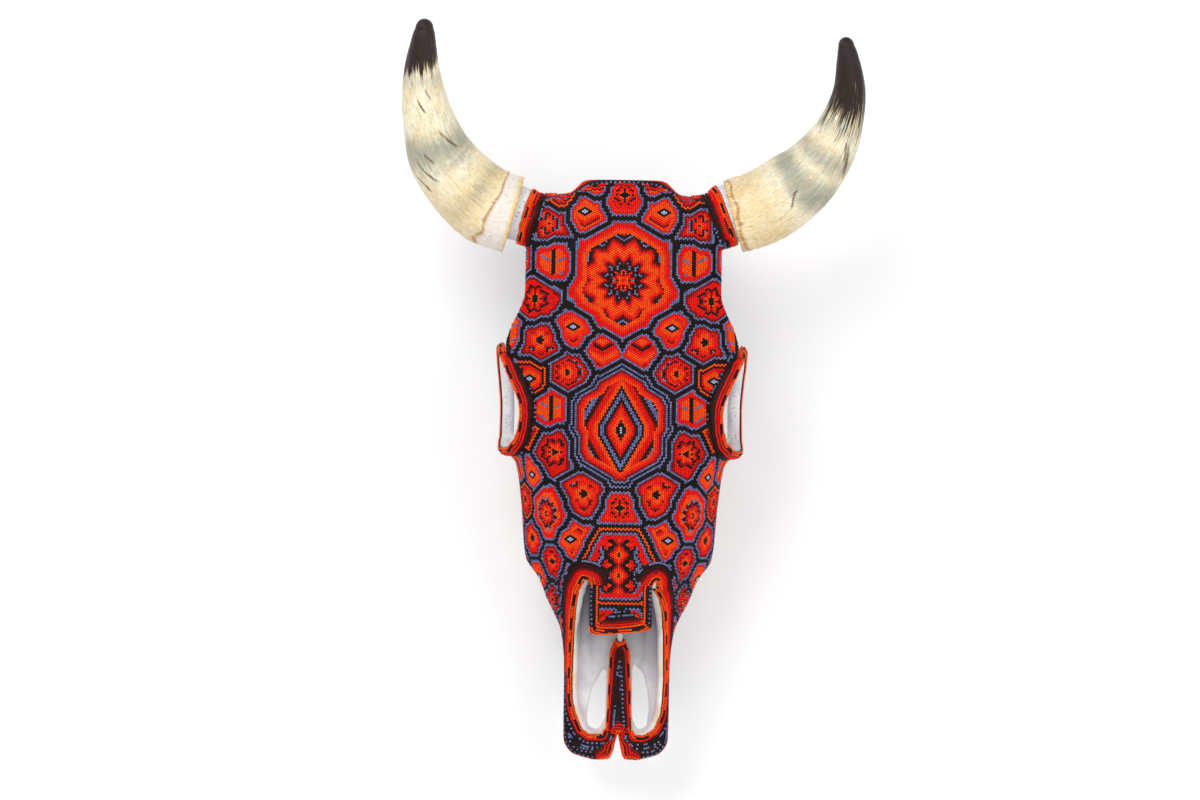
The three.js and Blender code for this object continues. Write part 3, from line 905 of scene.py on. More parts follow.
@dataclass
class Cranium:
    """The one piece of bone: braincase, face, rings round the eyes, arches, neck joint and horn cores."""

    voxel: float = 2.25  # mm, width of the skin's faces
    softening: int = 8  # rounds
    station_gap: float = 4.0  # mm along the head between rings that are drawn
    ring_height: float = 5.5  # mm, half the height of the bony rings round the eyes
    # Right eye's bony ring: [x, along, z, half-width]
    ring_stops: tuple = (
        (103, 153, -50, 5.5), (103, 163, -77, 8), (100, 197, -88, 9), (100, 227, -78, 7),
        (100, 239, -52, 5), (88, 234, -26, 4.5), (83, 202, -13, 5), (97, 167, -19, 5),
    )

    def head(self) -> Form:
        """Draw the head's outer skin over the beads.

        Returns:
            The skin.
        """
        stations = np.array([row[0] for row in HEAD_SECTIONS], float)
        rings = []
        for along, crown, *half, floor in HEAD_SECTIONS:
            outline = even_ring(along, crown, half, floor)
            rings.append(smooth_curve(np.array(outline, float), 4 * len(outline), closed=True))
        rings = np.array(rings)
        places = np.arange(stations[0], stations[-1], self.station_gap)
        places = np.unique(np.concatenate([stations, places]))
        flat = eased_between(stations, rings.reshape(len(stations), -1), places)
        return loft(flat.reshape(len(places), -1, 3))

    def nasal(self, margin: float) -> Form:
        """Draw the two nasal bones as one plate with a free end.

        Args:
            margin: How far it lies inside the bead tops.

        Returns:
            The plate.
        """
        rings = []
        for along, half, top, slant in (
            (322, 27, -6, 0), (340, 29, -4, 0), (372, 29, -3, 0), (NASAL_END - margin, 30, -5, NASAL_SLANT),
        ):
            edge, crown = half - margin, top - margin
            side = [(0.5 * edge, crown - 0.5), (0.9 * edge, crown - 2.5), (edge, top - 7)]
            side += [(0.9 * edge, top - 9.5 - margin), (0.5 * edge, top - 8.5 - margin)]
            ring = even_ring(along, crown, side, top - 8 - margin)
            rings.append([(x + NOSE_LEAN, slant * x + y, z) for x, y, z in ring])
        return loft(np.array(rings, float))

    def tongue(self, margin: float) -> Form:
        """Return the strip of bone between the nostrils, pointed towards the nose."""
        rows = ((407 + margin, -70, 6.5, 5), (413, -69, 9.3, 6.5), (442, -68, 11.6, 7.5), (494, -67, 12.5, 8))
        stops = [(NOSE_LEAN, along, z, wide - margin, high - margin) for along, z, wide, high in rows]
        return bar(stops, 24, 30)

    def stump(self, side: int, margin: float) -> Form:
        """Draw the bony stump under the beads from which a horn grows.

        Args:
            side: The horn's side.
            margin: How far it lies inside the bead tops.

        Returns:
            The stump.
        """
        root = HORN_ROOTS[side]
        edge = root.core + BEAD_COAT - margin
        stops = [
            (side * 40, 46, -38, 38 - margin, 30 - margin),
            (side * 66, 41, -37, 28 - margin, 28 - margin),
            (*root.point(-root.bare), edge, edge),
        ]
        return bar(stops, 36, 20)

    def ring(self, side: int) -> Form:
        """Return the bony ring round an eye."""
        stops = [(side * x, along, z, wide, self.ring_height) for x, along, z, wide in self.ring_stops]
        return bar(stops, 16, 72, up=(1, 0, 0), closed=True)

    def core(self, side: int) -> Form:
        """Draw a horn's bone core.

        Args:
            side: The horn's side.

        Returns:
            The core.
        """
        root = HORN_ROOTS[side]
        stops = [(*root.point(-45), root.core), (*root.point(-root.bare - 8), root.core)]
        x, along, z = root.point(0)
        stops.append((x, along - root.flare, z, root.core + root.flare))
        for (x, along, z, _), share in zip(HORN_STOPS[side][2:5], (0.9, 0.7, 0.45)):
            stops.append((x, along, z, root.core * share))
        return bar([(*stop, stop[3]) for stop in stops], 36, 40)

    def base_of_skull(self, side: int) -> list[Form]:
        """Draw the bare forms of one side.

        Args:
            side: The side.

        Returns:
            Arch, spur, neck knuckle, ear capsule and throat wing.
        """
        arch = [
            (102, 166, -80, 5, 9), (100, 148, -84, 5, 10), (91, 131, -86, 5, 11),
            (82, 116, -84, 6, 12), (73, 103, -79, 8, 12), (52, 92, -72, 12, 12),
        ]
        spur = [(46, 46, -80, 20, 16), (48, 50, -116, 16, 13), (46, 54, -150, 11, 10), (44, 55, -189, 6.5, 5.5)]
        wing = [(176, -108), (228, -112), (232, -134), (206, -146), (186, -143)]
        return [
            bar([(side * x, *rest) for x, *rest in arch], 24, 40),
            bar([(side * x, *rest) for x, *rest in spur], 24, 40, up=(0, 1, 0)),
            ellipsoid(side * 25, 35, -119, (22, 24, 25)),
            ellipsoid(side * 34, 88, -116, (13, 22, 16)),
            across(wing, side * 23 - 2.5, side * 23 + 2.5),
        ]

    def orbit_hollow(self, side: int) -> Form:
        """Return the hollow of an eye socket."""
        x, along, z = ORBIT_CENTRE
        return ellipsoid(side * x, along, z, ORBIT_HALF, 60)

    def nose_opening(self, margin: float) -> list:
        """Draw the edge of the beads round the nasal opening.

        Args:
            margin: How far it is widened.

        Returns:
            Points of x and along.
        """
        left = [
            (-20, 349), (-29.5, 352.5), (-34.5, 363), (-37, 381), (-38, 403),
            (-39, 442), (-38.5, 460), (-35.5, 473), (-30, 486), (-24, 490.5),
        ]
        right = [
            (24.5, 491.5), (33.5, 485.5), (39, 472), (40.2, 459), (41, 441), (40, 402),
            (38.3, 380), (35.6, 369), (31.5, 361.5), (26, 358.5),
        ]
        return [
            (x + math.copysign(1, x) * margin, along - margin if along < NASAL_END else along + margin / 4)
            for x, along in left + right
        ]

    def nose_cut(self) -> Form:
        """Draw what opens the nose from above.

        Returns:
            A block whose walls slant in below the beads as a bare lip.
        """
        lip = -BARE_LIP - 0.6
        rings = []
        for margin, drop in ((lip, None), (lip, 7.0), (-0.6, 0.6), (-0.6, -40.0)):
            rings.append([
                (x, -along, -71.0 if drop is None else nose_skin(along) - drop)
                for x, along in self.nose_opening(margin)
            ])
        return loft(np.array(rings, float))

    def nose_hollow(self) -> Form:
        """Draw the hollow of the nose.

        Returns:
            A hollow that runs back under the nasal bones to the throat.
        """
        rings = []
        for along, half, top, low in (
            (238, 20, -30, -78), (270, 27, -16, -84), (340, 32, -15, -86), (372, 34, -15, -82),
            (402, 36, -20, -78), (430, 36, -20, -74), (465, 34, -20, -72), (484, 26, -20, -71),
            (490, 18, -20, -66),
        ):
            middle = (top + low) / 2
            side = [(0.7 * half, top), (half, middle + 8), (0.9 * half, middle - 14), (0.6 * half, low)]
            rings.append(even_ring(along, top, side, low))
        return loft(np.array(rings, float))

    def palate_slit(self, side: int) -> Form:
        """Draw the slit through the palate beside the strip between the nostrils.

        Args:
            side: The slit's side.

        Returns:
            What cuts it.
        """
        outlines = {
            -1: [(-9, 424), (-14, 437), (-22, 450), (-26, 472), (-25, 485), (-15, 487), (-9.5, 476)],
            1: [(13.5, 426), (24, 438), (28, 454), (29, 470), (27, 485), (18, 487), (14, 474)],
        }
        return upright(outlines[side], -95, -60)

    def lip_notch(self) -> Form:
        """Return the notch between the two front lobes of the upper jaw."""
        return upright([(1.8, 477), (-7.8, 520), (10.2, 520)], -95, -40)

    def outer_forms(self) -> list[Form]:
        """Return the forms whose skin carries the beads, at the bone under them."""
        stumps = [self.stump(side, TO_BONE) for side in SIDES]
        return [self.head().grown(-TO_BONE), *stumps, self.nasal(TO_BONE), self.tongue(TO_BONE)]

    def bone(self) -> Form:
        """Join all the forms.

        Returns:
            The whole bone as one even, softened skin.
        """
        head, left, right, nasal, tongue = self.outer_forms()
        bare = [left, right]
        for side in SIDES:
            bare += [self.core(side), *self.base_of_skull(side)]
        throat = bar([(0, 186, -140, 15, 15), (0, 214, -122, 16, 15), (0, 250, -70, 16, 16)], 24, 16)
        hollows = [*map(self.orbit_hollow, SIDES), self.nose_hollow(), self.nose_cut(), throat]
        cranium = worked(head, add=bare, cut=hollows)
        outline = [(262, -20), (330, -22), (380, -46), (412, -64), (412, -78), (262, -86)]
        plate = across(outline, NOSE_LEAN - 2.4, NOSE_LEAN + 2.4)
        spine = bar([(0, -6, -112, 18, 15), (0, 40, -110, 17, 14), (0, 80, -104, 14, 12)], 36, 16)
        cuts = [*map(self.palate_slit, SIDES), spine, self.lip_notch()]
        added = [nasal, tongue, plate, *map(self.ring, SIDES)]
        return worked(cranium, added, cuts, self.voxel).softened(self.softening)


def segment_distance(points: Array, corners: Array) -> Array:
    """Measure how far flat points lie from a path of straight lines.

    Args:
        points: The points.
        corners: The path's corners.

    Returns:
        One distance for each point.
    """
    best = np.full(len(points), 1e9)
    for start, end in zip(corners[:-1], corners[1:]):
        way = end - start
        share = np.clip(((points - start) @ way) / (way @ way), 0, 1)
        best = np.minimum(best, np.linalg.norm(points - start - share[:, None] * way, axis=1))
    return best


@dataclass
class BeadedRegion:
    """Where wax and beads cover the bone."""

    cranium: Cranium
    # Where the beads stop on the sides of the head: [along, z]
    edge: tuple = (
        (-20, -30), (150, -30), (214, -27), (238, -36), (243, -92), (256, -104), (300, -104),
        (354, -90), (389, -78), (430, -71), (540, -73),
    )
    skin_reach: float = 5.0  # mm from the outer forms within which bone counts as outer skin
    eye_margin: float = 2.2  # mm from the hollow of the eye to the beads on the cheek
    brow_margin: float = 7.0  # mm, the same on the brow, whose ring has beads of its own
    cheek_to_brow: tuple = (-38, -28)  # heights between which the one margin turns into the other
    plate_half: float = 31.0  # mm off the middle that counts as nasal bones
    plate_low: float = -12.5  # height at which the beads stop on their sides
    tongue_half: float = 13.5  # mm off the middle that counts as the strip between the nostrils
    tongue_low: float = -68.5  # height at which the beads stop on its sides
    collar_reach: float = 32.0  # mm of the horn stumps, from the sheath inwards, that are beaded all round
    collar_radius: float = 46.0  # mm from the horn's axis within which that holds
    ring_reach: float = 12.5  # mm from the middle of a bony eye ring that its beads may reach
    ring_box: tuple = (62, 130, 262)  # least x, least and greatest along of the places near the rings

    def above_edge(self, along: Array, z: Array) -> Array:
        """Return the distance from the side edge, positive towards the face."""
        edge = np.array(self.edge, float)
        away = segment_distance(np.stack([along, z], 1), edge)
        return np.where(z > np.interp(along, edge[:, 0], edge[:, 1]), away, -away)

    def clear_of_nose(self, x: Array, along: Array, z: Array) -> Array:
        """Measure from the nasal opening's bare lip.

        Args:
            x, along, z: Places on the bone.

        Returns:
            The distance, positive outside the lip.
        """
        outline = np.array(self.cranium.nose_opening(0.0), float)
        closed = np.vstack([outline, outline[:1]])
        inside = np.zeros(len(x), bool)
        for (x0, a0), (x1, a1) in zip(closed[:-1], closed[1:]):
            if a0 != a1:
                crosses = (a0 > along) != (a1 > along)
                inside ^= crosses & (x < x0 + (along - a0) * (x1 - x0) / (a1 - a0))
        away = segment_distance(np.stack([x, along], 1), closed)
        clear = np.where(inside, -away, away)
        off_middle = np.abs(x - NOSE_LEAN)
        lowest = np.where(along < 360, -32, -17)  # below it lies the hollow's roof, which stays bare
        on_plate = (off_middle < self.plate_half) & (along > 200) & (along < NASAL_END + 4) & (z > lowest)
        clear = np.where(on_plate, z - self.plate_low, clear)
        on_tongue = (off_middle < self.tongue_half) & (along > NASAL_END + 3)
        return np.where(on_tongue, z - self.tongue_low, clear)

    def on_ring(self, points: Array, side: int) -> Array:
        """Return how far points lie on the part of a bony eye ring that beads cover.

        Args:
            points: Places near the ring.
            side: The ring's side.

        Returns:
            Millimetres inside that part, which is the ring's outside, and its upper side over the brow.
        """
        rows = np.array([(side * x, -along, z) for x, along, z, _ in self.cranium.ring_stops], float)
        line = smooth_curve(rows, 240, closed=True)
        tree = kd_tree(line)
        near = np.array([tree.find(p)[1] for p in points])
        away = points - line[near]
        radial = line[near] - [side * ORBIT_CENTRE[0], -ORBIT_CENTRE[1], ORBIT_CENTRE[2]]
        radial[:, 0] = 0
        out = radial / np.linalg.norm(radial, axis=1, keepdims=True) * 0.7 + [side, 0, 0]
        brow = np.clip((line[near, 2] + 36) / 14, 0, 1)[:, None]
        out = out * (1 - brow) + brow * [0, 0, 1.2]
        out /= np.linalg.norm(out, axis=1, keepdims=True)
        size = np.linalg.norm(away, axis=1)
        turned_away = (0.72 - 0.5 * brow[:, 0]) * size
        return np.minimum(np.einsum("ij,ij->i", away, out) - turned_away, self.ring_reach - size)

    def depth(self, bone: Form) -> Array:
        """Measure how far inside the beaded region the bone's points lie.

        Args:
            bone: The bone.

        Returns:
            Millimetres for each point, negative outside.
        """
        p = bone.points
        x, along, z = p[:, 0], -p[:, 1], p[:, 2]
        outer = np.full(len(p), -1e9)
        for skin in self.cranium.outer_forms():
            tree = BVHTree.FromPolygons(skin.points.tolist(), skin.triangles.tolist())
            reach = [tree.find_nearest(Vector(q), self.skin_reach)[3] for q in p]
            outer = np.maximum(outer, [self.skin_reach - r if r is not None else -1 for r in reach])
        allowed = self.above_edge(along, z)
        bounded = np.minimum(outer, self.clear_of_nose(x, along, z))
        orbits, rings = np.full(len(p), 1e9), np.full(len(p), -1e9)
        margin = np.interp(z, self.cheek_to_brow, [self.eye_margin, self.brow_margin])
        least_x, least_along, most_along = self.ring_box
        for side in SIDES:
            root = HORN_ROOTS[side]
            out, radius = root.measured(p)
            collar = np.minimum(out + self.collar_reach, self.collar_radius - radius)
            allowed = np.where(side * x > 0, np.maximum(allowed, collar), allowed)
            near_core = (side * x > 0) & (radius < self.collar_radius + 2)
            bounded = np.where(near_core, np.minimum(bounded, root.within_collar(p)), bounded)
            orbits = np.minimum(orbits, (eye_reach(p, side) - 1) * min(ORBIT_HALF) - margin)
            close = np.flatnonzero((side * x > least_x) & (along > least_along) & (along < most_along))
            rings[close] = self.on_ring(p[close], side)
        return np.maximum(np.minimum(np.minimum(allowed, bounded), orbits), rings)


def clipped(form: Form, depth: Array) -> Form:
    """Keep the part of a skin where depth is positive, with its edge on depth zero.

    Args:
        form: The skin.
        depth: One number for each of its points.

    Returns:
        The open skin that is left, without loose scraps.
    """
    depth = np.where(np.abs(depth) < 0.08, 0.08, depth)  # so that no edge crosses right beside a point
    inside = depth > 0
    count = inside[form.triangles].sum(1)
    kept = form.triangles[count == 3].tolist()
    points = form.points.tolist()
    made: dict[tuple[int, int], int] = {}

    def crossing(a: int, b: int) -> int:
        """Find where the edge between two points meets depth zero.

        Args:
            a, b: The numbers of its points.

        Returns:
            The number of the new point there.
        """
        key = (a, b) if a < b else (b, a)
        if key not in made:
            share = depth[a] / (depth[a] - depth[b])
            made[key] = len(points)
            points.append(form.points[a] + share * (form.points[b] - form.points[a]))
        return made[key]

    for corners in form.triangles[(count == 1) | (count == 2)]:
        within = inside[corners]
        alone = int(np.flatnonzero(within if within.sum() == 1 else ~within)[0])
        a, b, c = (int(corners[(alone + k) % 3]) for k in range(3))
        first, second = crossing(a, b), crossing(a, c)
        if inside[a]:
            kept.append([a, first, second])
        else:
            kept += [[first, b, c], [first, c, second]]
    return without_scraps(Form(np.array(points), np.array(kept)))


def without_scraps(form: Form) -> Form:
    """Drop the loose patches of a skin that have few triangles.

    Args:
        form: The skin.

    Returns:
        The skin that is left.
    """
    label = np.arange(len(form.points))
    for _ in range(200):
        low = label[form.triangles].min(1)
        new = label.copy()
        for k in range(3):
            np.minimum.at(new, form.triangles[:, k], low)
        new = new[new]
        if np.array_equal(new, label):
            break
        label = new
    owner = label[form.triangles[:, 0]]
    sizes = np.bincount(owner, minlength=len(form.points))
    kept = form.triangles[sizes[owner] >= LEAST_PATCH]
    used, renumbered = np.unique(kept, return_inverse=True)
    return Form(form.points[used], renumbered.reshape(-1, 3))


def edge_pairs(form: Form) -> Array:
    """Find the boundary edges of a skin.

    Args:
        form: The open skin.

    Returns:
        Pairs of point numbers, each in its face's order.
    """
    pairs = np.vstack([form.triangles[:, [k, (k + 1) % 3]] for k in range(3)])
    keys = np.sort(pairs, axis=1) @ [len(form.points), 1]
    _, where, uses = np.unique(keys, return_index=True, return_counts=True)
    return pairs[where[uses == 1]]


def chained(pairs: Array) -> list[list[int]]:
    """Join boundary edges into loops.

    Args:
        pairs: Pairs of point numbers.

    Returns:
        Loops of point numbers, each of which ends on its first one.
    """
    ahead: dict[int, list[int]] = {}
    for start, end in pairs.tolist():
        ahead.setdefault(start, []).append(end)
    loops = []
    while ahead:
        loop = [next(iter(ahead))]
        while loop[-1] in ahead:
            onward = ahead[loop[-1]]
            following = onward.pop()
            if not onward:
                del ahead[loop[-1]]
            loop.append(following)
        loops.append(loop)
    return loops


class EdgeLine:
    """The edges of an open skin, and for any point the nearest place on them."""

    def __init__(self, form: Form, spacing: float) -> None:
        """Walk along every edge and count its dashes, a whole number for each loop.

        Args:
            form: The open skin.
            spacing: Length of a dash and the gap after it, in millimetres.
        """
        places, counts = [], []
        for loop in chained(edge_pairs(form)):
            line = form.points[loop]
            reach = along_line(line)
            marks = np.arange(0, reach[-1], 0.8)  # close enough together to serve for any point
            places.append(sampled(line, reach, marks))
            counts.append(marks / reach[-1] * max(round(reach[-1] / spacing), 1))
        self.places = np.vstack(places)
        self.dashes = np.concatenate(counts)
        self.kinds = border_kinds(self.places)
        self.tree = kd_tree(self.places)

    def nearest(self, points: Array) -> tuple[Array, Array]:
        """Return each point's distance from the edges and the number of the nearest place on them."""
        found = [self.tree.find(p) for p in points]
        return np.array([hit[2] for hit in found]), np.array([hit[1] for hit in found], int)


def eye_reach(points: Array, side: int) -> Array:
    """Return how far points lie from the middle of an eye socket, as a share of its size."""
    centre = np.array([side * ORBIT_CENTRE[0], -ORBIT_CENTRE[1], ORBIT_CENTRE[2]])
    return np.linalg.norm((points - centre) / np.array(ORBIT_HALF), axis=1)


def level_lines(form: Form, rows: Array, values: Array, step: float, offset: float) -> list:
    """Trace the lines on a skin along which a value is offset, offset + step, offset + 2 step and so on.

    Args:
        form: The skin.
        rows: Measures for each point, which are interpolated along the lines.
        values: The value for each point.
        step: Difference between neighbouring lines.
        offset: The value on line 0.

    Returns:
        For each line its number and its interpolated rows in order; a loop ends on its first row.
    """
    # Every triangle, once for each line that crosses it
    at = values[form.triangles]
    low = np.floor((at.min(1) - offset) / step).astype(int) + 1
    high = np.floor((at.max(1) - offset) / step).astype(int) + 1
    repeats = high - low
    owner = np.repeat(np.arange(len(at)), repeats)
    number = low[owner] + np.arange(repeats.sum()) - np.repeat(np.cumsum(repeats) - repeats, repeats)
    level = number * step + offset
    # Where the lines cross its edges
    below = at[owner] < level[:, None]
    whose, edge = np.nonzero(below != np.roll(below, -1, axis=1))
    corners = form.triangles[owner[whose]]
    turn = np.arange(len(whose))
    a, b = np.sort([corners[turn, edge], corners[turn, (edge + 1) % 3]], axis=0)
    keys = ((number[whose] - number.min()) * len(form.points) + a) * len(form.points) + b
    _, index, node = np.unique(keys, return_index=True, return_inverse=True)
    a, b, whose = a[index], b[index], whose[index]
    share = ((level[whose] - values[a]) / (values[b] - values[a]))[:, None]
    data = rows[a] * (1 - share) + rows[b] * share
    # Walk from crossing to crossing, from the ends of open lines first
    links: list[list[int]] = [[] for _ in index]
    for one, other in node.reshape(-1, 2).tolist():
        links[one].append(other)
        links[other].append(one)
    lines, seen = [], set()
    for start in [k for k, near in enumerate(links) if len(near) == 1] + list(range(len(index))):
        if start in seen:
            continue
        chain, ahead = [], start
        while ahead is not None:
            chain.append(ahead)
            seen.add(ahead)
            ahead = next((k for k in links[chain[-1]] if k not in seen), None)
        if len(chain) > 2 and start in links[chain[-1]]:
            chain.append(start)
        if len(chain) > 1:
            lines.append((int(number[whose[start]]), data[chain]))
    return lines


def along_line(rows: Array) -> Array:
    """Return how far each row of a line lies from its start."""
    return np.concatenate([[0], np.cumsum(np.linalg.norm(np.diff(rows[:, :3], axis=0), axis=1))])


def sampled(rows: Array, reach: Array, places: Array) -> Array:
    """Return a line's rows at given distances from its start."""
    return np.stack([np.interp(places, reach, rows[:, k]) for k in range(rows.shape[1])], 1)


class Glass(Enum):
    """The colours of the beads, each a name, a letter for the design and the sRGB tones of its batches."""

    ORANGE = ("orange", "O", ("#FF5200", "#FF5B02", "#FA4800"))
    FLAME = ("flame", "F", ("#FF2E00", "#F82600"))
    RED = ("red", "R", ("#F40A00", "#E80600"))
    CRIMSON = ("crimson", "C", ("#8E0503",))
    MAROON = ("maroon", "M", ("#3F0907",))
    BLACK = ("black", "K", ("#0B0A0C", "#121013"))
    SLATE = ("slate", "S", ("#5F6C9C", "#7482B0"))
    FROST = ("frost", "W", ("#AEBBDA",))


COLOURS = list(Glass)
NUMBER = {glass.value[1]: k for k, glass in enumerate(COLOURS)}


def painted(rows: Array, letters: str) -> Array:
    """Colour by whole bead rows, one letter of Glass for each row.

    Args:
        rows: A count of bead rows for each bead.
        letters: The colours of row 0, 1 and so on; the last one goes on for ever.

    Returns:
        Colour numbers, or -1 where the count is below nought.
    """
    codes = np.array([NUMBER[letter] for letter in letters])
    row = np.floor(rows).astype(int)
    return np.where(row >= 0, codes[np.clip(row, 0, len(codes) - 1)], -1)


class Figure(Enum):
    """What fills a field of the design."""

    ROSETTE = "rosette"
    SUN = "sun"
    LOZENGE = "lozenge"
    CROSS = "cross"
    CHEVRONS = "chevrons"
    LADDER = "ladder"
    SEEDS = "seeds"
    BARS = "bars"


@dataclass(frozen=True)
class DesignField:
    """One field of the design, which is the same on both sides of the midline."""

    off: float  # mm from the midline to its middle
    down: float  # mm down the face to its middle
    size: float  # bead rows from its middle to its edge
    figure: Figure
    outline: str  # its outermost bead rows from the edge inwards


# Off the midline, down the face, size, figure and outline of each field
DESIGN = [DesignField(off, down, size, Figure(figure), outline) for off, down, size, figure, outline in (
    # Poll and horn collars
    (0, 16, 9, "rosette", "KSRF"), (27, 4, 8, "chevrons", "KSR"), (33, 31, 8, "lozenge", "KSRO"),
    (58, 14, 8, "seeds", "KOC"), (66, 42, 9, "cross", "KSCR"), (94, 40, 8, "rosette", "KOKR"),
    # Brow
    (0, 91, 26, "sun", "KSRRFOO"), (62, 76, 10, "bars", "KSRR"), (94, 72, 8, "lozenge", "KSCR"),
    (78, 108, 12, "rosette", "KSCR"), (110, 104, 8, "seeds", "KOC"), (44, 132, 9, "lozenge", "KSRF"),
    (104, 136, 9, "bars", "KSR"), (72, 144, 10, "cross", "KSCR"), (17, 151, 7, "chevrons", "KSR"),
    # Between the eyes
    (0, 222, 27, "lozenge", "KSKSCRFO"), (48, 172, 9, "sun", "KSCR"), (80, 178, 8, "lozenge", "KOKR"),
    (62, 204, 10, "bars", "KSRR"), (58, 242, 12, "rosette", "KSCR"), (84, 226, 7, "seeds", "KOC"),
    # Cheeks
    (32, 278, 11, "cross", "KSCRF"), (84, 262, 9, "lozenge", "KSRO"), (70, 296, 14, "sun", "KSRRO"),
    (106, 284, 10, "rosette", "KOKR"), (112, 256, 9, "bars", "KSR"), (42, 318, 9, "lozenge", "KSRO"),
    (98, 318, 10, "cross", "KSCR"), (126, 308, 9, "lozenge", "KSRR"), (136, 278, 9, "chevrons", "KSR"),
    (124, 336, 9, "rosette", "KSCR"), (70, 338, 10, "rosette", "KSCR"), (98, 352, 9, "lozenge", "KSRO"),
    (48, 356, 8, "chevrons", "KSR"), (74, 372, 9, "cross", "KSCR"), (52, 392, 8, "lozenge", "KSR"),
    # Nasal bones
    (0, 290, 9, "rosette", "KSRF"), (0, 340, 18, "ladder", "KOKSRR"), (0, 388, 6, "lozenge", "KSR"),
)]


@dataclass(frozen=True)
class Border:
    """Rows of beads along an edge, one letter of Glass for each row, and the rows with black dashes.

    The letter D stands for a dotted row of slate and black beads in turn.
    """

    rows: str
    dashed: tuple = ()


# By place: round the face and collars, round the eyes, along the nasal bones, at their free end, on the strip
# between the nostrils, and on the front of the jaw
BORDERS = (
    Border("OOORRCMMKD", (1,)),
    Border("OORRMKD", (1,)),
    Border("KDKO"),
    Border("OOOORCMKDKDK", (2,)),
    Border("OORMDKDKD", (1,)),
    Border("OORMDKDKDKDKDKDKK", (1,)),
)


def border_kinds(places: Array) -> Array:
    """Say which of BORDERS runs along the edges of the wax.

    Args:
        places: Places on the edges.

    Returns:
        One number for each place.
    """
    off_middle, along, z = np.abs(places[:, 0] - NOSE_LEAN), -places[:, 1], places[:, 2]
    kinds = np.zeros(len(places), int)
    for side in SIDES:
        kinds[(eye_reach(places, side) < 1.35) | (side * places[:, 0] > 98)] = 1
    kinds[(off_middle > 24) & (off_middle < 32) & (z > -16) & (along > 358) & (along < 394)] = 2
    kinds[(off_middle < 32) & (z > -16) & (along >= 394) & (along < 404)] = 3
    kinds[(off_middle < 14) & (z < -55) & (along > 400) & (along < 486)] = 4
    kinds[(along > 440) & (off_middle > 14) & (z < -25)] = 5
    return kinds


class FieldFigures:
    """The figures that may fill a field of the design, each a colour number for every bead of it."""

    def __init__(self, size: float, across: Array, down: Array) -> None:
        """Measure a field's beads.

        Args:
            size: Bead rows from the field's middle to its edge.
            across: Millimetres from its middle across the face, by bead.
            down: The same down the face.
        """
        self.size, self.across, self.down = size, across, down
        self.h, self.v = np.abs(across) / ROW_STEP, np.abs(down)
        self.radius = np.hypot(across, down) / ROW_STEP

    def off_ray(self, rays: int) -> Array:
        """Return how far beads lie from the nearest of a number of rays, 1 being halfway to the next."""
        return np.abs(np.arctan2(self.down, self.across) / (2 * math.pi) * rays % 1 - 0.5) * 2

    def rosette(self) -> Array:
        """Draw a flower of eight petals.

        Returns:
            The colour numbers.
        """
        gap = self.off_ray(8)
        petal = 0.66 * self.size * (1 - 0.26 * gap) - self.radius
        colours = painted(petal, "KRFOOOO" if self.size < 11 else "KCRFOOO")
        colours = np.where((self.radius > 1.6) & (gap > 0.86) & (petal > 2), NUMBER["K"], colours)
        colours = np.where(self.radius < 1.6, NUMBER["K"], colours)
        return np.where(colours < 0, NUMBER["R"], colours)

    def sun(self) -> Array:
        """Draw nested stars of twelve rays."""
        band = self.radius + 0.16 * self.size * self.off_ray(12)
        return painted(band, "KKOORFCMKSKMCRFOOOOFRCMKSKCRFOO" if self.size > 20 else "KKOORFCKSOO")

    def lozenge(self) -> Array:
        """Draw nested lozenges, or nested hexagons where the field is large."""
        if self.size < 15:
            return painted((self.v + self.h) / 2, "WKOOFRCKSOOO")
        return painted(np.maximum(self.h, (self.v / 3 + self.h) * 0.94), "WKKOOFRCKSSKOOFRRCMKSSKMCRFFOOOO")

    def cross(self) -> Array:
        """Draw a stepped cross of nested outlines on an orange ground."""
        arm = np.minimum(np.maximum(self.h * 2.2, self.v / 2), np.maximum(self.h, self.v * 1.1))
        return painted(arm, "KKOOFRCKSO" if self.size > 9 else "KOFRKSO")

    def chevrons(self) -> Array:
        """Draw nested chevrons that point down the face."""
        return painted((self.down + self.h) / 2 % 8, "KRRFOOFC")

    def ladder(self) -> Array:
        """Draw a chain of lozenges between two zigzags."""
        tooth = np.abs(self.down % 18 - 9) / 2
        zigzag = painted(np.abs(self.h - 7.5 - 0.7 * tooth), "SKRRFFOO")
        return np.where(self.h + tooth > 8, zigzag, painted(self.h + tooth, "KOOFRCKK"))

    def seeds(self) -> Array:
        """Draw slate dots on red."""
        dots = (np.floor(self.h + 0.01) % 3 == 0) & (np.floor(self.v + 0.01) % 6 < 2)
        return np.where(dots, NUMBER["S"], NUMBER["R"])

    def bars(self) -> Array:
        """Draw a dark rib with slanting slate bars on orange."""
        slanting = ((self.down + self.h) / 2 % 6 < 1) & (self.h > 2.2)
        return np.where(self.h < 1.2, NUMBER["K"], np.where(slanting, NUMBER["S"], NUMBER["O"]))


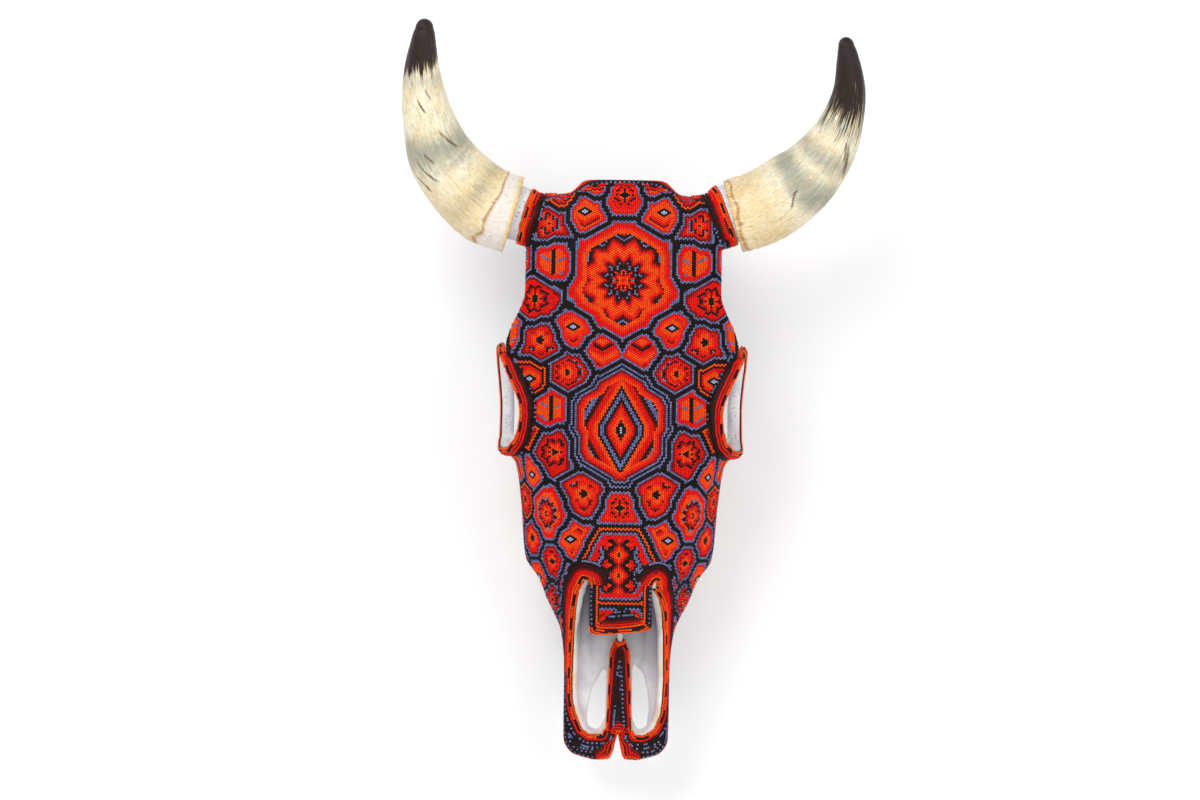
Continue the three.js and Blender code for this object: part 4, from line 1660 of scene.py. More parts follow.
@dataclass(frozen=True)
class BeadDesign:
    """Colours the beads: a banded border along every edge, and fields of plain geometric figures inside it."""

    dash_spacing: float = 24.0  # mm
    dash_share: float = 0.45
    dark_below: float = 408.0  # mm down the face, beyond which the jaw's front is dark with dots

    def border_colour(self, row: int, dash: Array, kinds: Array) -> Array:
        """Colour one border row.

        Args:
            row: The row's number from the edge.
            dash: For each bead, dashes counted along the edge.
            kinds: For each bead, which of BORDERS it belongs to.

        Returns:
            One colour number for each bead.
        """
        colours = np.empty(len(dash), int)
        for kind, border in enumerate(BORDERS):
            chosen = kinds == kind
            letter = border.rows[min(row, len(border.rows) - 1)]
            colours[chosen] = NUMBER["K" if letter == "D" else letter]
            if letter == "D":
                bead = np.floor(dash * self.dash_spacing / BEAD_PITCH)
                colours[chosen & (bead % 2 == row % 2)] = NUMBER["S"]
            if row in border.dashed:
                colours[chosen & (dash % 1 < self.dash_share)] = NUMBER["K"]
        return colours

    def field_colour(self, across: Array, down: Array) -> Array:
        """Colour the beads inside the borders.

        Args:
            across: Distance from the midline over the surface, in millimetres.
            down: Distance down the face from the poll, in millimetres.

        Returns:
            One colour number for each bead.
        """
        off = np.abs(across)
        reach = np.array([hex_rows(off - f.off, down - f.down) - f.size for f in DESIGN])
        order = np.argsort(reach, axis=0)
        nearest, next_one = np.take_along_axis(reach, order[:2], 0)
        depth = (next_one - nearest) / 2
        colours = np.zeros(len(off), int)
        for k, f in enumerate(DESIGN):
            mine = order[0] == k
            figures = FieldFigures(f.size, off[mine] - f.off, down[mine] - f.down)
            outlined = depth[mine] < len(f.outline)
            filling = getattr(figures, f.figure.value)()
            colours[mine] = np.where(outlined, painted(depth[mine], f.outline), filling)
        # Lines of slate dots on maroon and black, for the front of the jaw
        stripes = painted(np.floor((off / ROW_STEP + down / BEAD_PITCH * 2) / 2) % 6, "KMSMKC")
        between = (stripes == NUMBER["S"]) & (np.floor(off / ROW_STEP) % 2 == 0)
        return np.where(down > self.dark_below, np.where(between, NUMBER["K"], stripes), colours)


def hex_rows(across: Array, down: Array) -> Array:
    """Return how many bead rows away a place is, over beads set like a honeycomb."""
    h, v = np.abs(across) / ROW_STEP, np.abs(down)
    return np.maximum(h, (v + h) / 2)


@dataclass
class LaidBeads:
    """The beads that are laid so far, none of them too close to another."""

    least: float  # mm between two of them
    rows: list = field(default_factory=list)
    colours: list = field(default_factory=list)
    cells: dict = field(default_factory=dict)

    def lay(self, rows: Array, colours: Array) -> None:
        """Lay beads in turn, but leave out any that would crowd one laid before.

        Args:
            rows: For each bead its place, its outward direction and any other measures.
            colours: For each bead its colour number.
        """
        for row, colour in zip(rows, colours):
            if self.take(*row[:3]):
                self.rows.append(row[:6])
                self.colours.append(colour)

    def take(self, x: float, y: float, z: float) -> bool:
        """Take a place if it has room.

        Args:
            x, y, z: The place.

        Returns:
            Whether it had room.
        """
        size = self.least
        i, j, k = int(x // size), int(y // size), int(z // size)
        limit = size * size
        for di, dj, dk in product((-1, 0, 1), repeat=3):
            for px, py, pz in self.cells.get((i + di, j + dj, k + dk), ()):
                if (px - x) ** 2 + (py - y) ** 2 + (pz - z) ** 2 < limit:
                    return False
        self.cells.setdefault((i, j, k), []).append((x, y, z))
        return True


@dataclass
class BeadCoat:
    """The wax on the bone and the glass beads pressed into it, their holes outwards."""

    bone: Form
    region: BeadedRegion
    design: BeadDesign = field(default_factory=BeadDesign)
    bead_width: float = 1.94  # mm
    bead_height: float = 1.12  # mm that a bead stands out of the wax
    bead_sides: int = 8
    size_spread: float = 0.06  # share by which beads are smaller
    lean: float = 0.09  # most sideways lean of a bead, as a slope
    crowding: float = 0.86  # least spacing of beads, as a share of the pitch
    row_slack: float = 0.35  # rows by which the even rows may run into the borders
    fill_from: float = 0.42  # least distance of a filling bead from the edge, as a share of the pitch
    most_in_piece: int = 8000  # beads, which keeps a piece under 200,000 triangles
    batch_seed: int = 7
    turn_radius: float = 16.0  # mm, about which the rows turn over the poll
    nose_turn: tuple = (500.0, 12.0)  # where the rows turn down over the nose's end, and about what radius
    edge_thinning: tuple = (0.35, 0.8)  # share of the wax's depth lost at its edge, over how many mm

    def down_face(self, points: Array) -> Array:
        """Measure down the face over the surface, turning over the poll and the nose's end.

        Args:
            points: Places in the skull's frame.

        Returns:
            Millimetres from the poll.
        """
        along, z = -points[:, 1], points[:, 2]
        r = self.turn_radius
        end, tip = self.nose_turn
        over_poll = r - r * np.arctan2(r - along, z + 20)
        over_nose = end + tip * np.arctan2(along - end, np.maximum(z + 74, 0.5))
        return np.where(along < r, over_poll, np.where(along > end, over_nose, along))

    def make_wax(self) -> Object:
        """Make the wax as a closed shell on the bone, and keep its open top for the beads.

        Returns:
            The wax's piece.
        """
        self.covered = self.region.depth(self.bone)
        patch = clipped(self.bone, self.covered)
        self.edge = EdgeLine(patch, self.design.dash_spacing)
        self.edge_distance, mark = self.edge.nearest(patch.points)
        self.border_rows = np.array([len(border.rows) for border in BORDERS])[self.edge.kinds[mark]]
        normals = patch.normals()
        lost, width = self.edge_thinning
        thickness = WAX_DEPTH * (1 - lost * np.exp(-self.edge_distance / width))
        top = patch.points + normals * thickness[:, None]
        low = patch.points + normals * 0.02  # mm clear of the bone, so that the two skins don't flicker
        size = len(top)
        a, b = edge_pairs(patch).T
        walls = np.vstack([np.stack([b, a, a + size], 1), np.stack([b, a + size, b + size], 1)])
        triangles = np.vstack([patch.triangles, patch.triangles[:, ::-1] + size, walls])
        shell = Form(np.vstack([top, low]), triangles)
        self.top = Form(top, patch.triangles)
        return finished_piece("wax_coat", shell, WaxFinish().build(), "wax", "bead_coat")

    def lay_beads(self) -> dict[int, Array]:
        """Lay border rows along every edge, then even rows over the field, then fill what is left.

        Returns:
            For each colour number, rows of a bead's place and outward direction.
        """
        # For each point of the wax its place, direction, distance from the edge and count of border rows
        self.rows = np.column_stack([self.top.points, self.top.normals(), self.edge_distance, self.border_rows])
        self.laid = LaidBeads(BEAD_PITCH * self.crowding)
        for step in (self.lay_borders, self.lay_field, self.fill_gaps):
            step()
            log.info("%s: %d beads so far", step.__name__, len(self.laid.rows))
        placed, colours = np.array(self.laid.rows), np.array(self.laid.colours)
        return {int(colour): placed[colours == colour] for colour in np.unique(colours)}

    def lay_borders(self) -> None:
        """Lay the rows of beads that follow the edges."""
        lines = level_lines(self.top, self.rows, self.edge_distance, ROW_STEP, 0.5 * BEAD_PITCH)
        lines = [line for line in lines if 0 <= line[0] < self.border_rows.max()]
        for number, line in sorted(lines, key=lambda item: item[0]):
            reach = along_line(line)
            count = int(round(reach[-1] / BEAD_PITCH))
            if count < 1:
                continue
            places = (np.arange(count) + 0.5 * (number % 2)) * reach[-1] / count
            beads = sampled(line, reach, places)
            beads = beads[beads[:, 7] > number + 0.5]
            _, mark = self.edge.nearest(beads[:, :3])
            colours = self.design.border_colour(number, self.edge.dashes[mark], self.edge.kinds[mark])
            self.laid.lay(beads, colours)

    def lay_field(self) -> None:
        """Lay even rows of beads across the face inside the borders, set like a honeycomb."""
        column = BEAD_PITCH * math.sqrt(3)
        beads, from_middle, down = [], [], []
        down_face = self.down_face(self.top.points)
        for number, line in level_lines(self.top, self.rows, down_face, BEAD_PITCH / 2, 0.0):
            if len(line) < 3:
                continue
            reach = along_line(line)
            start, u_start, way = self.midline_start(line, reach)
            u = u_start + way * (reach - start)
            low, high = min(u[0], u[-1]), max(u[0], u[-1])
            steps = np.arange(math.ceil(low / column - 0.5), math.floor(high / column) + 1) + 0.5 * (number % 2)
            wanted = steps * column
            wanted = wanted[(wanted >= low) & (wanted <= high)]
            found = sampled(line, reach, (wanted - u_start) * way + start)
            keep = found[:, 6] > (found[:, 7] - self.row_slack) * ROW_STEP
            beads.append(found[keep])
            from_middle.append(wanted[keep])
            down.append(np.full(keep.sum(), number * BEAD_PITCH / 2))
        colours = self.design.field_colour(np.concatenate(from_middle), np.concatenate(down))
        self.laid.lay(np.vstack(beads), colours)

    @staticmethod
    def midline_start(line: Array, reach: Array) -> tuple[float, float, int]:
        """Find where a row of beads starts.

        Args:
            line: The row's line over the wax.
            reach: How far each of its places lies along it.

        Returns:
            The distance along the line of its place nearest the midline, that place's own distance from the
            midline, and 1 or -1 for the way in which the line runs.
        """
        x = line[:, 0]
        crossings = np.flatnonzero(np.sign(x[:-1]) != np.sign(x[1:]))
        if len(crossings):
            k = crossings[np.argmax(line[crossings, 2])]
            share = x[k] / (x[k] - x[k + 1])
            start = reach[k] + share * (reach[k + 1] - reach[k])
            return float(start), 0.0, 1 if x[k + 1] > x[k] else -1
        k = int(np.argmin(np.abs(x)))
        near = x[min(k + 1, len(x) - 1)] - x[max(k - 1, 0)]
        return float(reach[k]), float(x[k]), 1 if near > 0 else -1

    def fill_gaps(self) -> None:
        """Put beads into the gaps that are wide enough, in the colour of the nearest bead."""
        tree = kd_tree(np.array(self.laid.rows)[:, :3])
        spots = np.vstack([self.rows, self.rows[self.top.triangles].mean(1)])
        spots = spots[spots[:, 6] > self.fill_from * BEAD_PITCH]
        self.laid.lay(spots, np.array(self.laid.colours)[[tree.find(spot[:3])[1] for spot in spots]])

    def bead_form(self) -> Object:
        """Make the bead that is repeated: a rounded ring with a dimple for its hole, open below, in metres.

        Returns:
            The bead's object.
        """
        sides = self.bead_sides
        angle = round_angles(sides)
        rings = []
        for radius, height in ((0.5 * self.bead_width, 0.1), (0.29 * self.bead_width, self.bead_height)):
            rings.append(np.stack([radius * np.cos(angle), radius * np.sin(angle), np.full(sides, height)], 1))
        pairs = [(k, (k + 1) % sides) for k in range(sides)]
        walls = [(k, t, t + sides, k + sides) for k, t in pairs]
        dimple = [(k + sides, t + sides, 2 * sides) for k, t in pairs]
        points = np.vstack([*rings, [0, 0, 0.5 * self.bead_height]]) / 1000
        mesh = bpy.data.meshes.new("bead_form")
        mesh.from_pydata(points.tolist(), [], [*walls, *dimple])
        mesh.shade_smooth()
        return new_object("bead_form", mesh)

    def scatter_tree(self) -> NodeTree:
        """Build the tree that sets a bead on every point, turned to its point's direction "out".

        Returns:
            The tree.
        """
        tree = bpy.data.node_groups.new("set_beads", "GeometryNodeTree")
        for name, way, kind in (
            ("Geometry", "INPUT", "Geometry"), ("Bead", "INPUT", "Object"), ("Size spread", "INPUT", "Float"),
            ("Lean", "INPUT", "Float"), ("Seed", "INPUT", "Int"), ("Glass", "INPUT", "Material"),
            ("Geometry", "OUTPUT", "Geometry"),
        ):
            tree.interface.new_socket(name, in_out=way, socket_type=f"NodeSocket{kind}")
        given = add_node(tree, "NodeGroupInput").outputs
        out = add_node(tree, "GeometryNodeInputNamedAttribute", {"Name": "out"}, data_type="FLOAT_VECTOR")
        small = add_node(tree, "ShaderNodeMath", {0: 1.0, 1: given["Size spread"]}, operation="SUBTRACT")
        sockets = {"Min": small, "Max": 1.0, "Seed": given["Seed"]}
        size = add_node(tree, "FunctionNodeRandomValue", sockets, data_type="FLOAT")
        away = add_node(tree, "ShaderNodeMath", {0: given["Lean"], 1: -1.0}, operation="MULTIPLY")
        low = add_node(tree, "ShaderNodeCombineXYZ", {k: away for k in range(3)})
        high = add_node(tree, "ShaderNodeCombineXYZ", {k: given["Lean"] for k in range(3)})
        sockets = {0: low, 1: high, "Seed": given["Seed"]}
        sway = add_node(tree, "FunctionNodeRandomValue", sockets, data_type="FLOAT_VECTOR")
        aim = add_node(tree, "ShaderNodeVectorMath", {0: out, 1: sway}, operation="ADD")
        turn = add_node(tree, "FunctionNodeAlignRotationToVector", {"Vector": aim}, axis="Z")
        bead = add_node(tree, "GeometryNodeObjectInfo", {"Object": given["Bead"], "As Instance": True})
        beads = add_node(tree, "GeometryNodeInstanceOnPoints", {
            "Points": given["Geometry"], "Instance": bead.outputs["Geometry"], "Rotation": turn, "Scale": size,
        })
        real = add_node(tree, "GeometryNodeRealizeInstances", {"Geometry": beads})
        glazed = add_node(tree, "GeometryNodeSetMaterial", {"Geometry": real, "Material": given["Glass"]})
        add_node(tree, "NodeGroupOutput", {0: glazed})
        return tree

    def bead_piece(self, name: str, beads: Array, tree: NodeTree, values: dict[str, object]) -> Object:
        """Set one batch of beads as one piece.

        Args:
            name: The piece's name.
            beads: Rows of place and outward direction in the skull's frame.
            tree: The tree that sets the beads.
            values: What its named inputs get.

        Returns:
            The piece as a plain mesh.
        """
        mesh = bpy.data.meshes.new(name)
        mesh.from_pydata(REST.placed(beads[:, :3]).tolist(), [], [])
        point_values(mesh, "out", REST.turned(beads[:, 3:6]))
        made = new_object(name, mesh)
        setter = made.modifiers.new("set_beads", "NODES")
        setter.node_group = tree
        for item in tree.interface.items_tree:
            if item.in_out == "INPUT" and item.name in values:
                setter[item.identifier] = values[item.name]
        evaluated = made.evaluated_get(bpy.context.evaluated_depsgraph_get())
        set_mesh = bpy.data.meshes.new_from_object(evaluated)
        made.modifiers.remove(setter)
        made.data = set_mesh
        declare(made, "beads")
        return made

    def make_beads(self) -> None:
        """Make every bead, a few pieces for each colour."""
        laid = self.lay_beads()
        tree = self.scatter_tree()
        values = {"Bead": self.bead_form(), "Size spread": self.size_spread, "Lean": self.lean}
        chance = np.random.default_rng(self.batch_seed)
        for number, beads in laid.items():
            name, _, tones = COLOURS[number].value
            batch = chance.integers(0, len(tones), len(beads))
            for k, tone in enumerate(tones):
                values["Seed"] = 100 * number + k
                values["Glass"] = GlassFinish(f"seed_bead_glass_{name}_{k}", tone).build()
                mine = beads[batch == k]
                for part, chunk in enumerate(np.array_split(mine, math.ceil(len(mine) / self.most_in_piece))):
                    self.bead_piece(f"beads_{name}_{k}_{part}", chunk, tree, values)
        bpy.data.objects.remove(values["Bead"])


@dataclass
class SkullBone:
    """The bone as a shown piece, with fine relief, the places that are cream or spongy, and painted shade in
    its hollows.
    """

    cranium: Cranium
    relief: float = 0.28  # mm
    cream_reach: float = 7.0  # mm from the beads round the nose that the cream edge reaches
    # How strongly shade is painted into the hollow of the nose, by place along the head
    nose_shade: tuple = ((300, 1.0), (385, 0.8), (412, 0.36), (470, 0.14))

    def make(self) -> Form:
        """Make the bone's skin without the fine relief, and return it."""
        self.form = self.cranium.bone()
        log.info("bone: %d points, volume %.0f ml", len(self.form.points), self.form.volume() / 1000)
        return self.form

    def show(self, edge: EdgeLine, covered: Array) -> Object:
        """Show the bone.

        Args:
            edge: The edges of the wax.
            covered: For each point of the bone, how far inside the wax it lies.

        Returns:
            The bone's piece.
        """
        points = self.form.points
        bare = np.clip(1 - (covered + 1) / 2, 0, 1)
        rough = 0.65 * ripple(points, 9.0) + 0.35 * ripple(points, 3.2, seed=40.0)
        moved = points + self.form.normals() * (self.relief * bare * rough)[:, None]
        skin = Form(moved, self.form.triangles)
        made = finished_piece("skull_bone", skin, BoneFinish().build(), "bone", "skull")
        away, _ = edge.nearest(points)
        for name, values in self.tones(points, away).items():
            point_values(made.data, name, values)
        return made

    def tones(self, points: Array, away: Array) -> dict[str, Array]:
        """Say where the bone is cream, where shade is painted on it, and where it is spongy.

        Args:
            points: The bone's points.
            away: Their distance from the edges of the wax.

        Returns:
            By name, one strength from 0 to 1 for each point.
        """
        off_middle, along, z = np.abs(points[:, 0]), -points[:, 1], points[:, 2]
        opening = (along > 340) & (z > -75)
        stains = 0.5 + 0.9 * ripple(points, 14.0, seed=21.0)
        cream = np.where(opening, np.clip(1.2 - away / self.cream_reach, 0, 1), 0) * np.clip(stains, 0.1, 0.9)
        # Painted shade: lavender grey, deeper under the nose's skin and strongest back under the nasal bones
        in_nose = (off_middle < 42) * (along > 240) * (along < 492)
        below = np.clip((nose_skin(along) - 3 - z) / 26, 0, 1) * in_nose
        painted_shade_mask = below * np.interp(along, *zip(*self.nose_shade))
        in_socket = np.zeros(len(points))
        for side in SIDES:
            in_socket = np.maximum(in_socket, np.clip((1.12 - eye_reach(points, side)) / 0.1, 0, 1))
        spongy = np.clip(in_socket * (0.4 + 0.8 * ripple(points, 22.0, seed=9.0)), 0, 0.8)
        spongy = np.maximum(spongy, np.where((along < 70) & (off_middle > 78), 0.75, 0.12))
        # Painted shade along the inner edge of the eye sockets, next to the wax
        socket_edge_shade = in_socket * np.clip(1 - away / 9, 0, 1) * 0.5
        return {"cream": cream, "painted_shade_mask": np.maximum(painted_shade_mask, socket_edge_shade), "spongy": spongy}


@dataclass
class HornZones:
    """What shows along one horn, in millimetres from the sheath's rim, with angles in radians."""

    chalky_to: float
    step: float  # height of the rough step at the chalky root's end
    smoky: list  # (middle, half-length, angle of its middle or None for all round, strength)
    dark_from: float
    dark_feather: float
    dark_slant: float  # mm by which the dark tip reaches further down on the side it faces
    dark_facing: float
    cracks: list  # (middle, half-length, angle)


@dataclass
class HornSheath:
    """A hollow horn sheath, pushed over its bone core."""

    side: int
    name: str
    zones: HornZones
    wall: float = 5.0  # mm
    tip: float = 8.5  # mm, length of the rounded tip
    depth: float = 72.0  # mm, of the hollow
    growth_gap: float = 6.3  # mm between the growth rings near the root
    growth_height: float = 0.35  # mm
    unbent_radius: float = 30.0  # mm, of the straight horn that the patterns lie on
    sides: int = 120
    steps: int = 210
    inner_steps: int = 60

    def __post_init__(self) -> None:
        """Lay the sheath's middle line, the directions across it and a soft noise over its skin."""
        rows = np.array([(x, -along, z, radius) for x, along, z, radius in HORN_STOPS[self.side]], float)
        self.path = smooth_curve(rows, self.steps)
        self.sideways, self.upwards = crossways(self.path, (0, 0, 1))
        self.reach = along_line(self.path)
        self.straight = self.unbent(self.unbent_radius, self.reach)
        wobble = ripple(self.straight * [1, 1, 0.35], 16.0, seed=self.side * 5.0)
        self.wobble = wobble.reshape(self.steps, self.sides)

    def unbent(self, radius: float, reach: Array) -> Array:
        """Return the points of a straight tube with the sheath's rings at the given places."""
        angle = round_angles(self.sides)[None]
        tube = np.broadcast_arrays(radius * np.cos(angle), radius * np.sin(angle), reach[:, None])
        return np.stack(tube, -1).reshape(-1, 3)

    def skin_radius(self) -> Array:
        """Give the sheath its growth rings, fibres, chalky step and rounded tip.

        Returns:
            The radius, by ring and place round it.
        """
        reach, radius, wobble = self.reach, self.path[:, 3], self.wobble
        fibre = ripple(self.straight * [1, 1, 0.04], 2.6, seed=3.0).reshape(wobble.shape)
        spot = reach[:, None] + 2.5 * wobble
        fade = np.clip(1 - spot / 90, 0, 1)
        growth = self.growth_height * fade * np.sin(spot * 2 * math.pi / self.growth_gap + 2 * wobble)
        step_at = self.zones.chalky_to + 2.2 * ripple(self.straight * [1, 1, 0.0], 7.0).reshape(wobble.shape)
        made = radius[:, None] * (1 + 0.012 * wobble) + growth + 0.12 * fibre
        made = made + past(step_at - spot, 0.5, -self.zones.step)
        to_tip = np.clip((reach[:, None] - reach[-1]) / self.tip + 1, 0, 1)
        made = np.maximum(made, np.interp(reach[-1] - self.tip, reach, radius) * (to_tip > 0))
        return np.maximum(made * np.sqrt(1 - to_tip**2), 0.4)

    def make(self) -> Object:
        """Make the sheath: outer skin, blunt tip, rim and hollow.

        Returns:
            The sheath's piece.
        """
        angle = round_angles(self.sides)[None, :, None]
        out = self.upwards[:, None] * np.cos(angle) + self.sideways[:, None] * np.sin(angle)
        outer = self.path[:, None, :3] + out * self.skin_radius()[:, :, None]
        skin = loft(np.concatenate([self.hollow()[::-1], outer]))
        finish = HornFinish(f"{self.name}_keratin").build()
        made = finished_piece(self.name + "_sheath", skin, finish, "horn", self.name)
        for zone, mask in self.masks().items():
            lining = {"warm": 0.8, "dark": 0.15}.get(zone, 0.0)
            hidden = np.full(self.inner_steps * self.sides, lining)
            point_values(made.data, zone, np.concatenate([hidden, mask.ravel(), [lining, mask[-1].mean()]]))
        lined = self.unbent(12, np.linspace(70, 0, self.inner_steps))
        ends = np.array([[0, 0, 70.0], [0, 0, self.reach[-1]]])
        point_values(made.data, "straight", np.vstack([lined, self.straight, ends]))
        return made

    def hollow(self) -> Array:
        """Draw the hollow inside the sheath.

        Returns:
            The hollow's rings from the rim inwards.
        """
        places = np.linspace(0, self.depth, self.inner_steps)
        centre = sampled(self.path, self.reach, places)
        up, out = (sampled(way, self.reach, places)[:, None] for way in (self.upwards, self.sideways))
        taper = 1 - 0.75 * np.clip((places - 8) / (self.depth - 8), 0, 1) ** 1.6
        thin = np.interp(places, [0, 4, 12], [0.45, 0.8, 1.0]) * self.wall
        radius = ((centre[:, 3] - thin) * taper)[:, None, None]
        angle = round_angles(self.sides)[None, :, None]
        return centre[:, None, :3] + (up * np.cos(angle) + out * np.sin(angle)) * radius

    def masks(self) -> dict[str, Array]:
        """Say how strongly each zone of colour shows on the outer skin.

        Returns:
            By zone, a strength from 0 to 1 for each ring and place round it.
        """
        zones, from_rim = self.zones, self.reach[:, None]
        s = from_rim + 3.5 * self.wobble
        turn = round_angles(self.sides)[None]
        chalky = past(zones.chalky_to - s, 0.8) * (1 - 0.8 * bell(from_rim, 5))
        rim = 0.8 * bell(s - zones.chalky_to - 1.5, 2.0) + 0.6 * bell(from_rim, 1.2)
        warm = np.maximum(0.6 * bell(s - zones.chalky_to - 22, 30), 0.9 * bell(from_rim, 5))
        smoky, crack = np.zeros_like(s), np.zeros_like(s)
        for middle, half, where, strength in zones.smoky:
            facing = 1.0 if where is None else np.clip(0.5 + 0.7 * np.cos(turn - where), 0, 1)
            smoky = np.maximum(smoky, strength * facing * bell(s - middle, half))
        for middle, half, where in zones.cracks:
            away = np.abs((turn - where + 0.02 * (s - middle) + math.pi) % (2 * math.pi) - math.pi)
            crack = np.maximum(crack, bell(away, 0.05) * bell(s - middle, half, 4))
        slant = zones.dark_slant * np.cos(turn - zones.dark_facing)
        dark = past(s + slant - zones.dark_from, zones.dark_feather)
        return {"warm": warm, "chalky": chalky, "rim": rim, "smoky": smoky, "crack": crack, "dark": dark}


@dataclass
class CheekTooth:
    """An upper cheek tooth of a cow: two ridged lobes with enamel crescents on the worn face."""

    name: str
    length: float
    width: float
    x: float
    drop: float  # mm, height below the jaw
    along: float
    side: int
    lobes: int
    gap: float = 0.8  # mm between neighbouring teeth
    sides: int = 48
    pit: float = 1.7  # mm, depth of the crescents

    def ring(self, share: float, z: float) -> Array:
        """Draw one ring of the tooth.

        Args:
            share: Its share of the tooth's outline.
            z: Its height.

        Returns:
            The ring's points.
        """
        angle = round_angles(self.sides)
        c, s = np.cos(angle), np.sin(angle)
        ridge = 1 + 0.07 * np.cos(2 * self.lobes * angle + math.pi) * np.abs(c) ** 0.5
        across_row = 0.5 * self.width * (np.sign(c) * np.abs(c) ** 0.6) * ridge
        along_row = 0.5 * (self.length - self.gap) * (np.sign(s) * np.abs(s) ** 0.6)
        return np.stack([
            self.side * self.x + share * across_row, share * along_row - self.along, np.full(self.sides, z)
        ], 1)

    def make(self, finish: Material) -> Object:
        """Make the tooth from its neck at the jaw down to its worn face.

        Args:
            finish: The teeth's material.

        Returns:
            The tooth's piece.
        """
        neck = float(np.interp(self.along, [252, 354], [-131, -106]))
        drop = self.drop
        rings, stain = [], []
        # Height below the neck, share of the outline and stain
        for down, share, mark in (
            (-1.5, 0.86, 0.5), (1, 0.9, 0.5), (3, 0.93, 0.3), (0.4 * drop, 0.96, 0.12),
            (0.75 * drop, 0.985, 0.05), (drop - 1.2, 0.985, 0.0), (drop, 0.95, 0.0),
        ):
            rings.append(self.ring(share, neck - down))
            stain += [mark] * self.sides
        for share in (0.88, 0.8, 0.66, 0.5, 0.34, 0.18, 0.06):
            ring = self.ring(share, neck - drop)
            local = ring[:, :2] - [self.side * self.x, -self.along]
            lobe = np.abs((local[:, 1] / self.length * self.lobes + 0.5 * (self.lobes % 2 == 0)) % 1 - 0.5) * 2
            pit = bell(np.abs(local[:, 0]) / self.width - 0.2, 0.08) * np.clip(1.4 * (1 - lobe), 0, 1)
            ring[:, 2] += 0.5 + self.pit * pit
            rings.append(ring)
            stain += (0.25 + 0.5 * pit).tolist()
        made = finished_piece(f"cheek_{self.name}", loft(np.array(rings)), finish, "tooth", self.name)
        point_values(made.data, "stain", np.array(stain + [0.5, 0.3]))
        return made


@dataclass
class ToothRow:
    """The six cheek teeth of one side, from the front of the row to the back."""

    side: int
    front: float = 369.0
    # name, length along the row, width, place across, height below the jaw and lobes
    teeth: tuple = (
        ("p2", 18, 15, 43, 20, 1), ("p3", 20, 17, 46, 22, 1), ("p4", 20, 19, 49, 24, 1),
        ("m1", 24, 22, 52.5, 26, 2), ("m2", 28, 24, 56.5, 28, 2), ("m3", 30, 23, 58.5, 29.5, 2),
    )

    def make(self, finish: Material) -> None:
        """Make the row's teeth.

        Args:
            finish: Their material.
        """
        place = self.front
        word = "left" if self.side < 0 else "right"
        for name, length, width, x, drop, lobes in self.teeth:
            middle = place - length / 2
            CheekTooth(f"tooth_{word}_{name}", length, width, x, drop, middle, self.side, lobes).make(finish)
            place -= length


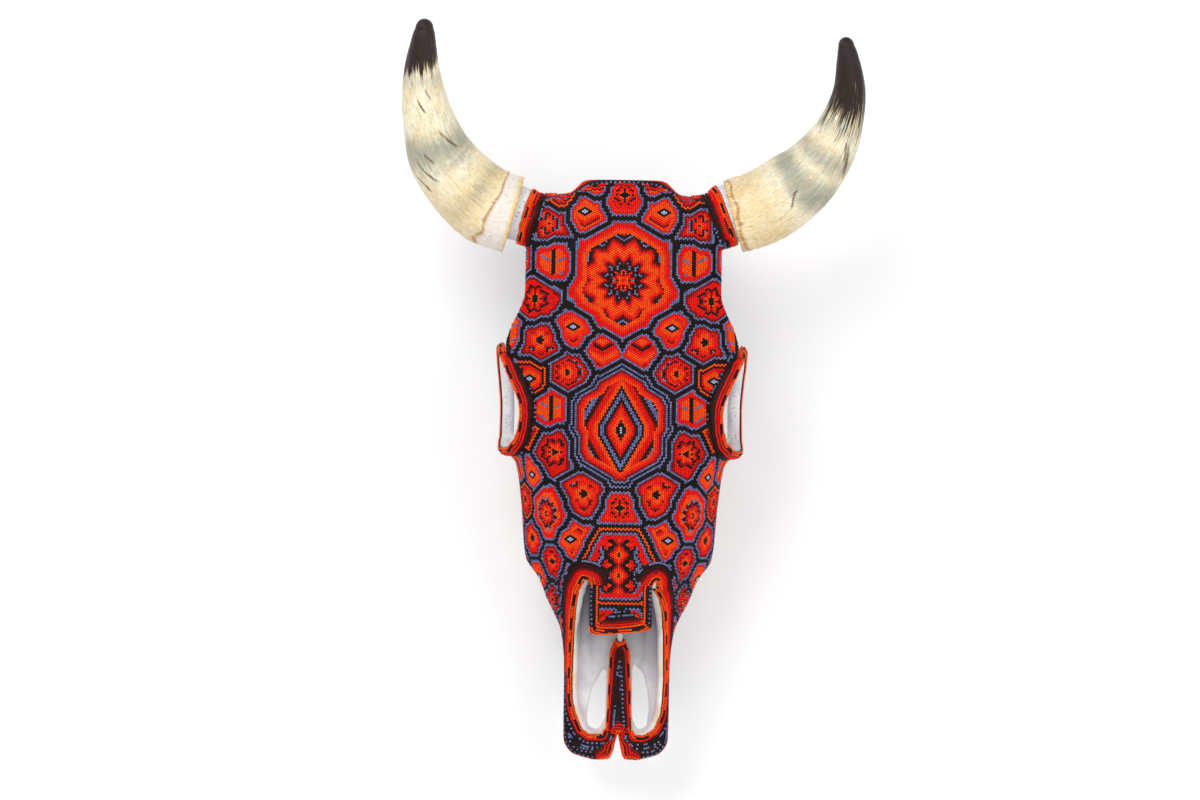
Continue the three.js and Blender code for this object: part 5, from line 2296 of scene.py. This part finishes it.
@dataclass
class Studio:
    """A pale floor, soft lights and the camera that looks down along the face's normal."""

    pixel: float = 0.88  # mm of the skull for each of the photograph's pixels
    image: tuple = (1200, 800)
    poll: tuple = (625.0, 178.0)  # pixel column and row of the poll's middle
    roll: float = 0.95  # degrees by which the skull's midline leans to the left, downwards
    depth: float = -40.0  # height of the plane at which the pixel size holds
    distance: float = 6000.0  # mm from the camera to the face
    sensor: float = 36.0  # mm
    surroundings: tuple = ("#F4F5F7", 0.66)  # colour and strength
    # name, place in m, width in m, power in W
    lamps: tuple = (
        ("key_softbox", (-0.9, 0.9, 1.9), 1.3, 24.0), ("fill_softbox", (1.2, 0.2, 1.7), 1.4, 12.0),
        ("foot_softbox", (0.1, -1.4, 1.5), 1.3, 10.0),
    )

    def build(self) -> None:
        """Build the floor, the lights, the surroundings and the camera."""
        self.floor()
        for name, place, size, power in self.lamps:
            lamp = bpy.data.lights.new(name, "AREA")
            lamp.size, lamp.energy = size, power
            made = new_object(name, lamp)
            made.location = place
            made.rotation_euler = (Vector((0, 0, 0.1)) - Vector(place)).to_track_quat("-Z", "Y").to_euler()
        world = bpy.data.worlds.new("pale_room")
        world.use_nodes = True
        colour, strength = self.surroundings
        connect(world.node_tree.nodes["Background"], {"Color": linear(colour), "Strength": strength})
        bpy.context.scene.world = world
        bpy.context.scene.view_settings.view_transform = "Standard"
        self.camera()

    def floor(self) -> None:
        """Lay the pale matt floor at the table's height."""
        mesh = bpy.data.meshes.new("floor")
        mesh.from_pydata([(-4, -4, 0), (4, -4, 0), (4, 4, 0), (-4, 4, 0)], [], [(0, 1, 2, 3)])
        material, tree, shader = new_material("matt_white_card")
        place = add_node(tree, "ShaderNodeTexCoord").outputs["Object"]
        cloud = add_node(tree, "ShaderNodeTexNoise", {"Vector": place, "Scale": 3.0})
        tone = add_node(tree, "ShaderNodeValToRGB", {"Fac": cloud})
        set_ramp(tone, [(0.3, "#F3F3F3"), (0.7, "#F6F6F6")])
        connect(shader, {"Base Color": tone, "Roughness": 0.9})
        mesh.materials.append(material)
        new_object("floor", mesh)

    def camera(self) -> None:
        """Set the camera at the photograph's angle, with its scale and framing."""
        wide, high = self.image
        c, s = math.cos(math.radians(self.roll)), math.sin(math.radians(self.roll))
        right, up = np.array([c, s, 0.0]), np.array([-s, c, 0.0])
        middle = (wide / 2 - self.poll[0]) * right - (high / 2 - self.poll[1]) * up
        target = REST.placed(middle[None] * self.pixel)[0]
        turn = REST.turned(np.array([right, up, [0.0, 0.0, 1.0]]))
        data = bpy.data.cameras.new("camera")
        data.sensor_width = self.sensor
        data.lens = self.sensor * (self.distance - self.depth) / (wide * self.pixel)
        data.clip_end = 50
        camera = new_object("camera", data)
        camera.location = target + turn[2] * self.distance / 1000
        camera.rotation_euler = Matrix(turn.T.tolist()).to_euler()
        bpy.context.scene.camera = camera


def main() -> None:
    """Build the skull piece by piece and say what was made."""
    logging.basicConfig(level=logging.INFO, format="%(message)s")
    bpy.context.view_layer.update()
    cranium = Cranium()
    skull = SkullBone(cranium)
    coat = BeadCoat(skull.make(), BeadedRegion(cranium))
    coat.make_wax()
    skull.show(coat.edge, coat.covered)
    coat.make_beads()
    HornSheath(-1, "horn_left", HornZones(
        chalky_to=20, step=1.3, dark_from=171, dark_feather=4.5, dark_slant=6, dark_facing=5.2,
        cracks=[(84, 12, 5.6), (76, 7, 5.25), (94, 6, 5.9), (104, 13, 0.5), (140, 8, 6.1), (148, 5, 0.2)],
        smoky=[(98, 17, None, 0.8), (84, 9, 0.9, 0.6), (160, 9, None, 0.45), (44, 11, 0.6, 0.5)],
    )).make()
    HornSheath(1, "horn_right", HornZones(
        chalky_to=3, step=0.6, dark_from=142, dark_feather=10.0, dark_slant=4, dark_facing=1.0,
        cracks=[(110, 14, 0.9), (116, 9, 0.65), (104, 8, 1.1), (62, 10, 0.3)],
        smoky=[(76, 16, None, 0.8), (104, 12, None, 0.6), (134, 10, None, 0.5)],
    )).make()
    enamel = ToothFinish().build()
    for side in SIDES:
        ToothRow(side).make(enamel)
    Studio().build()


if __name__ == "__main__":
    main()
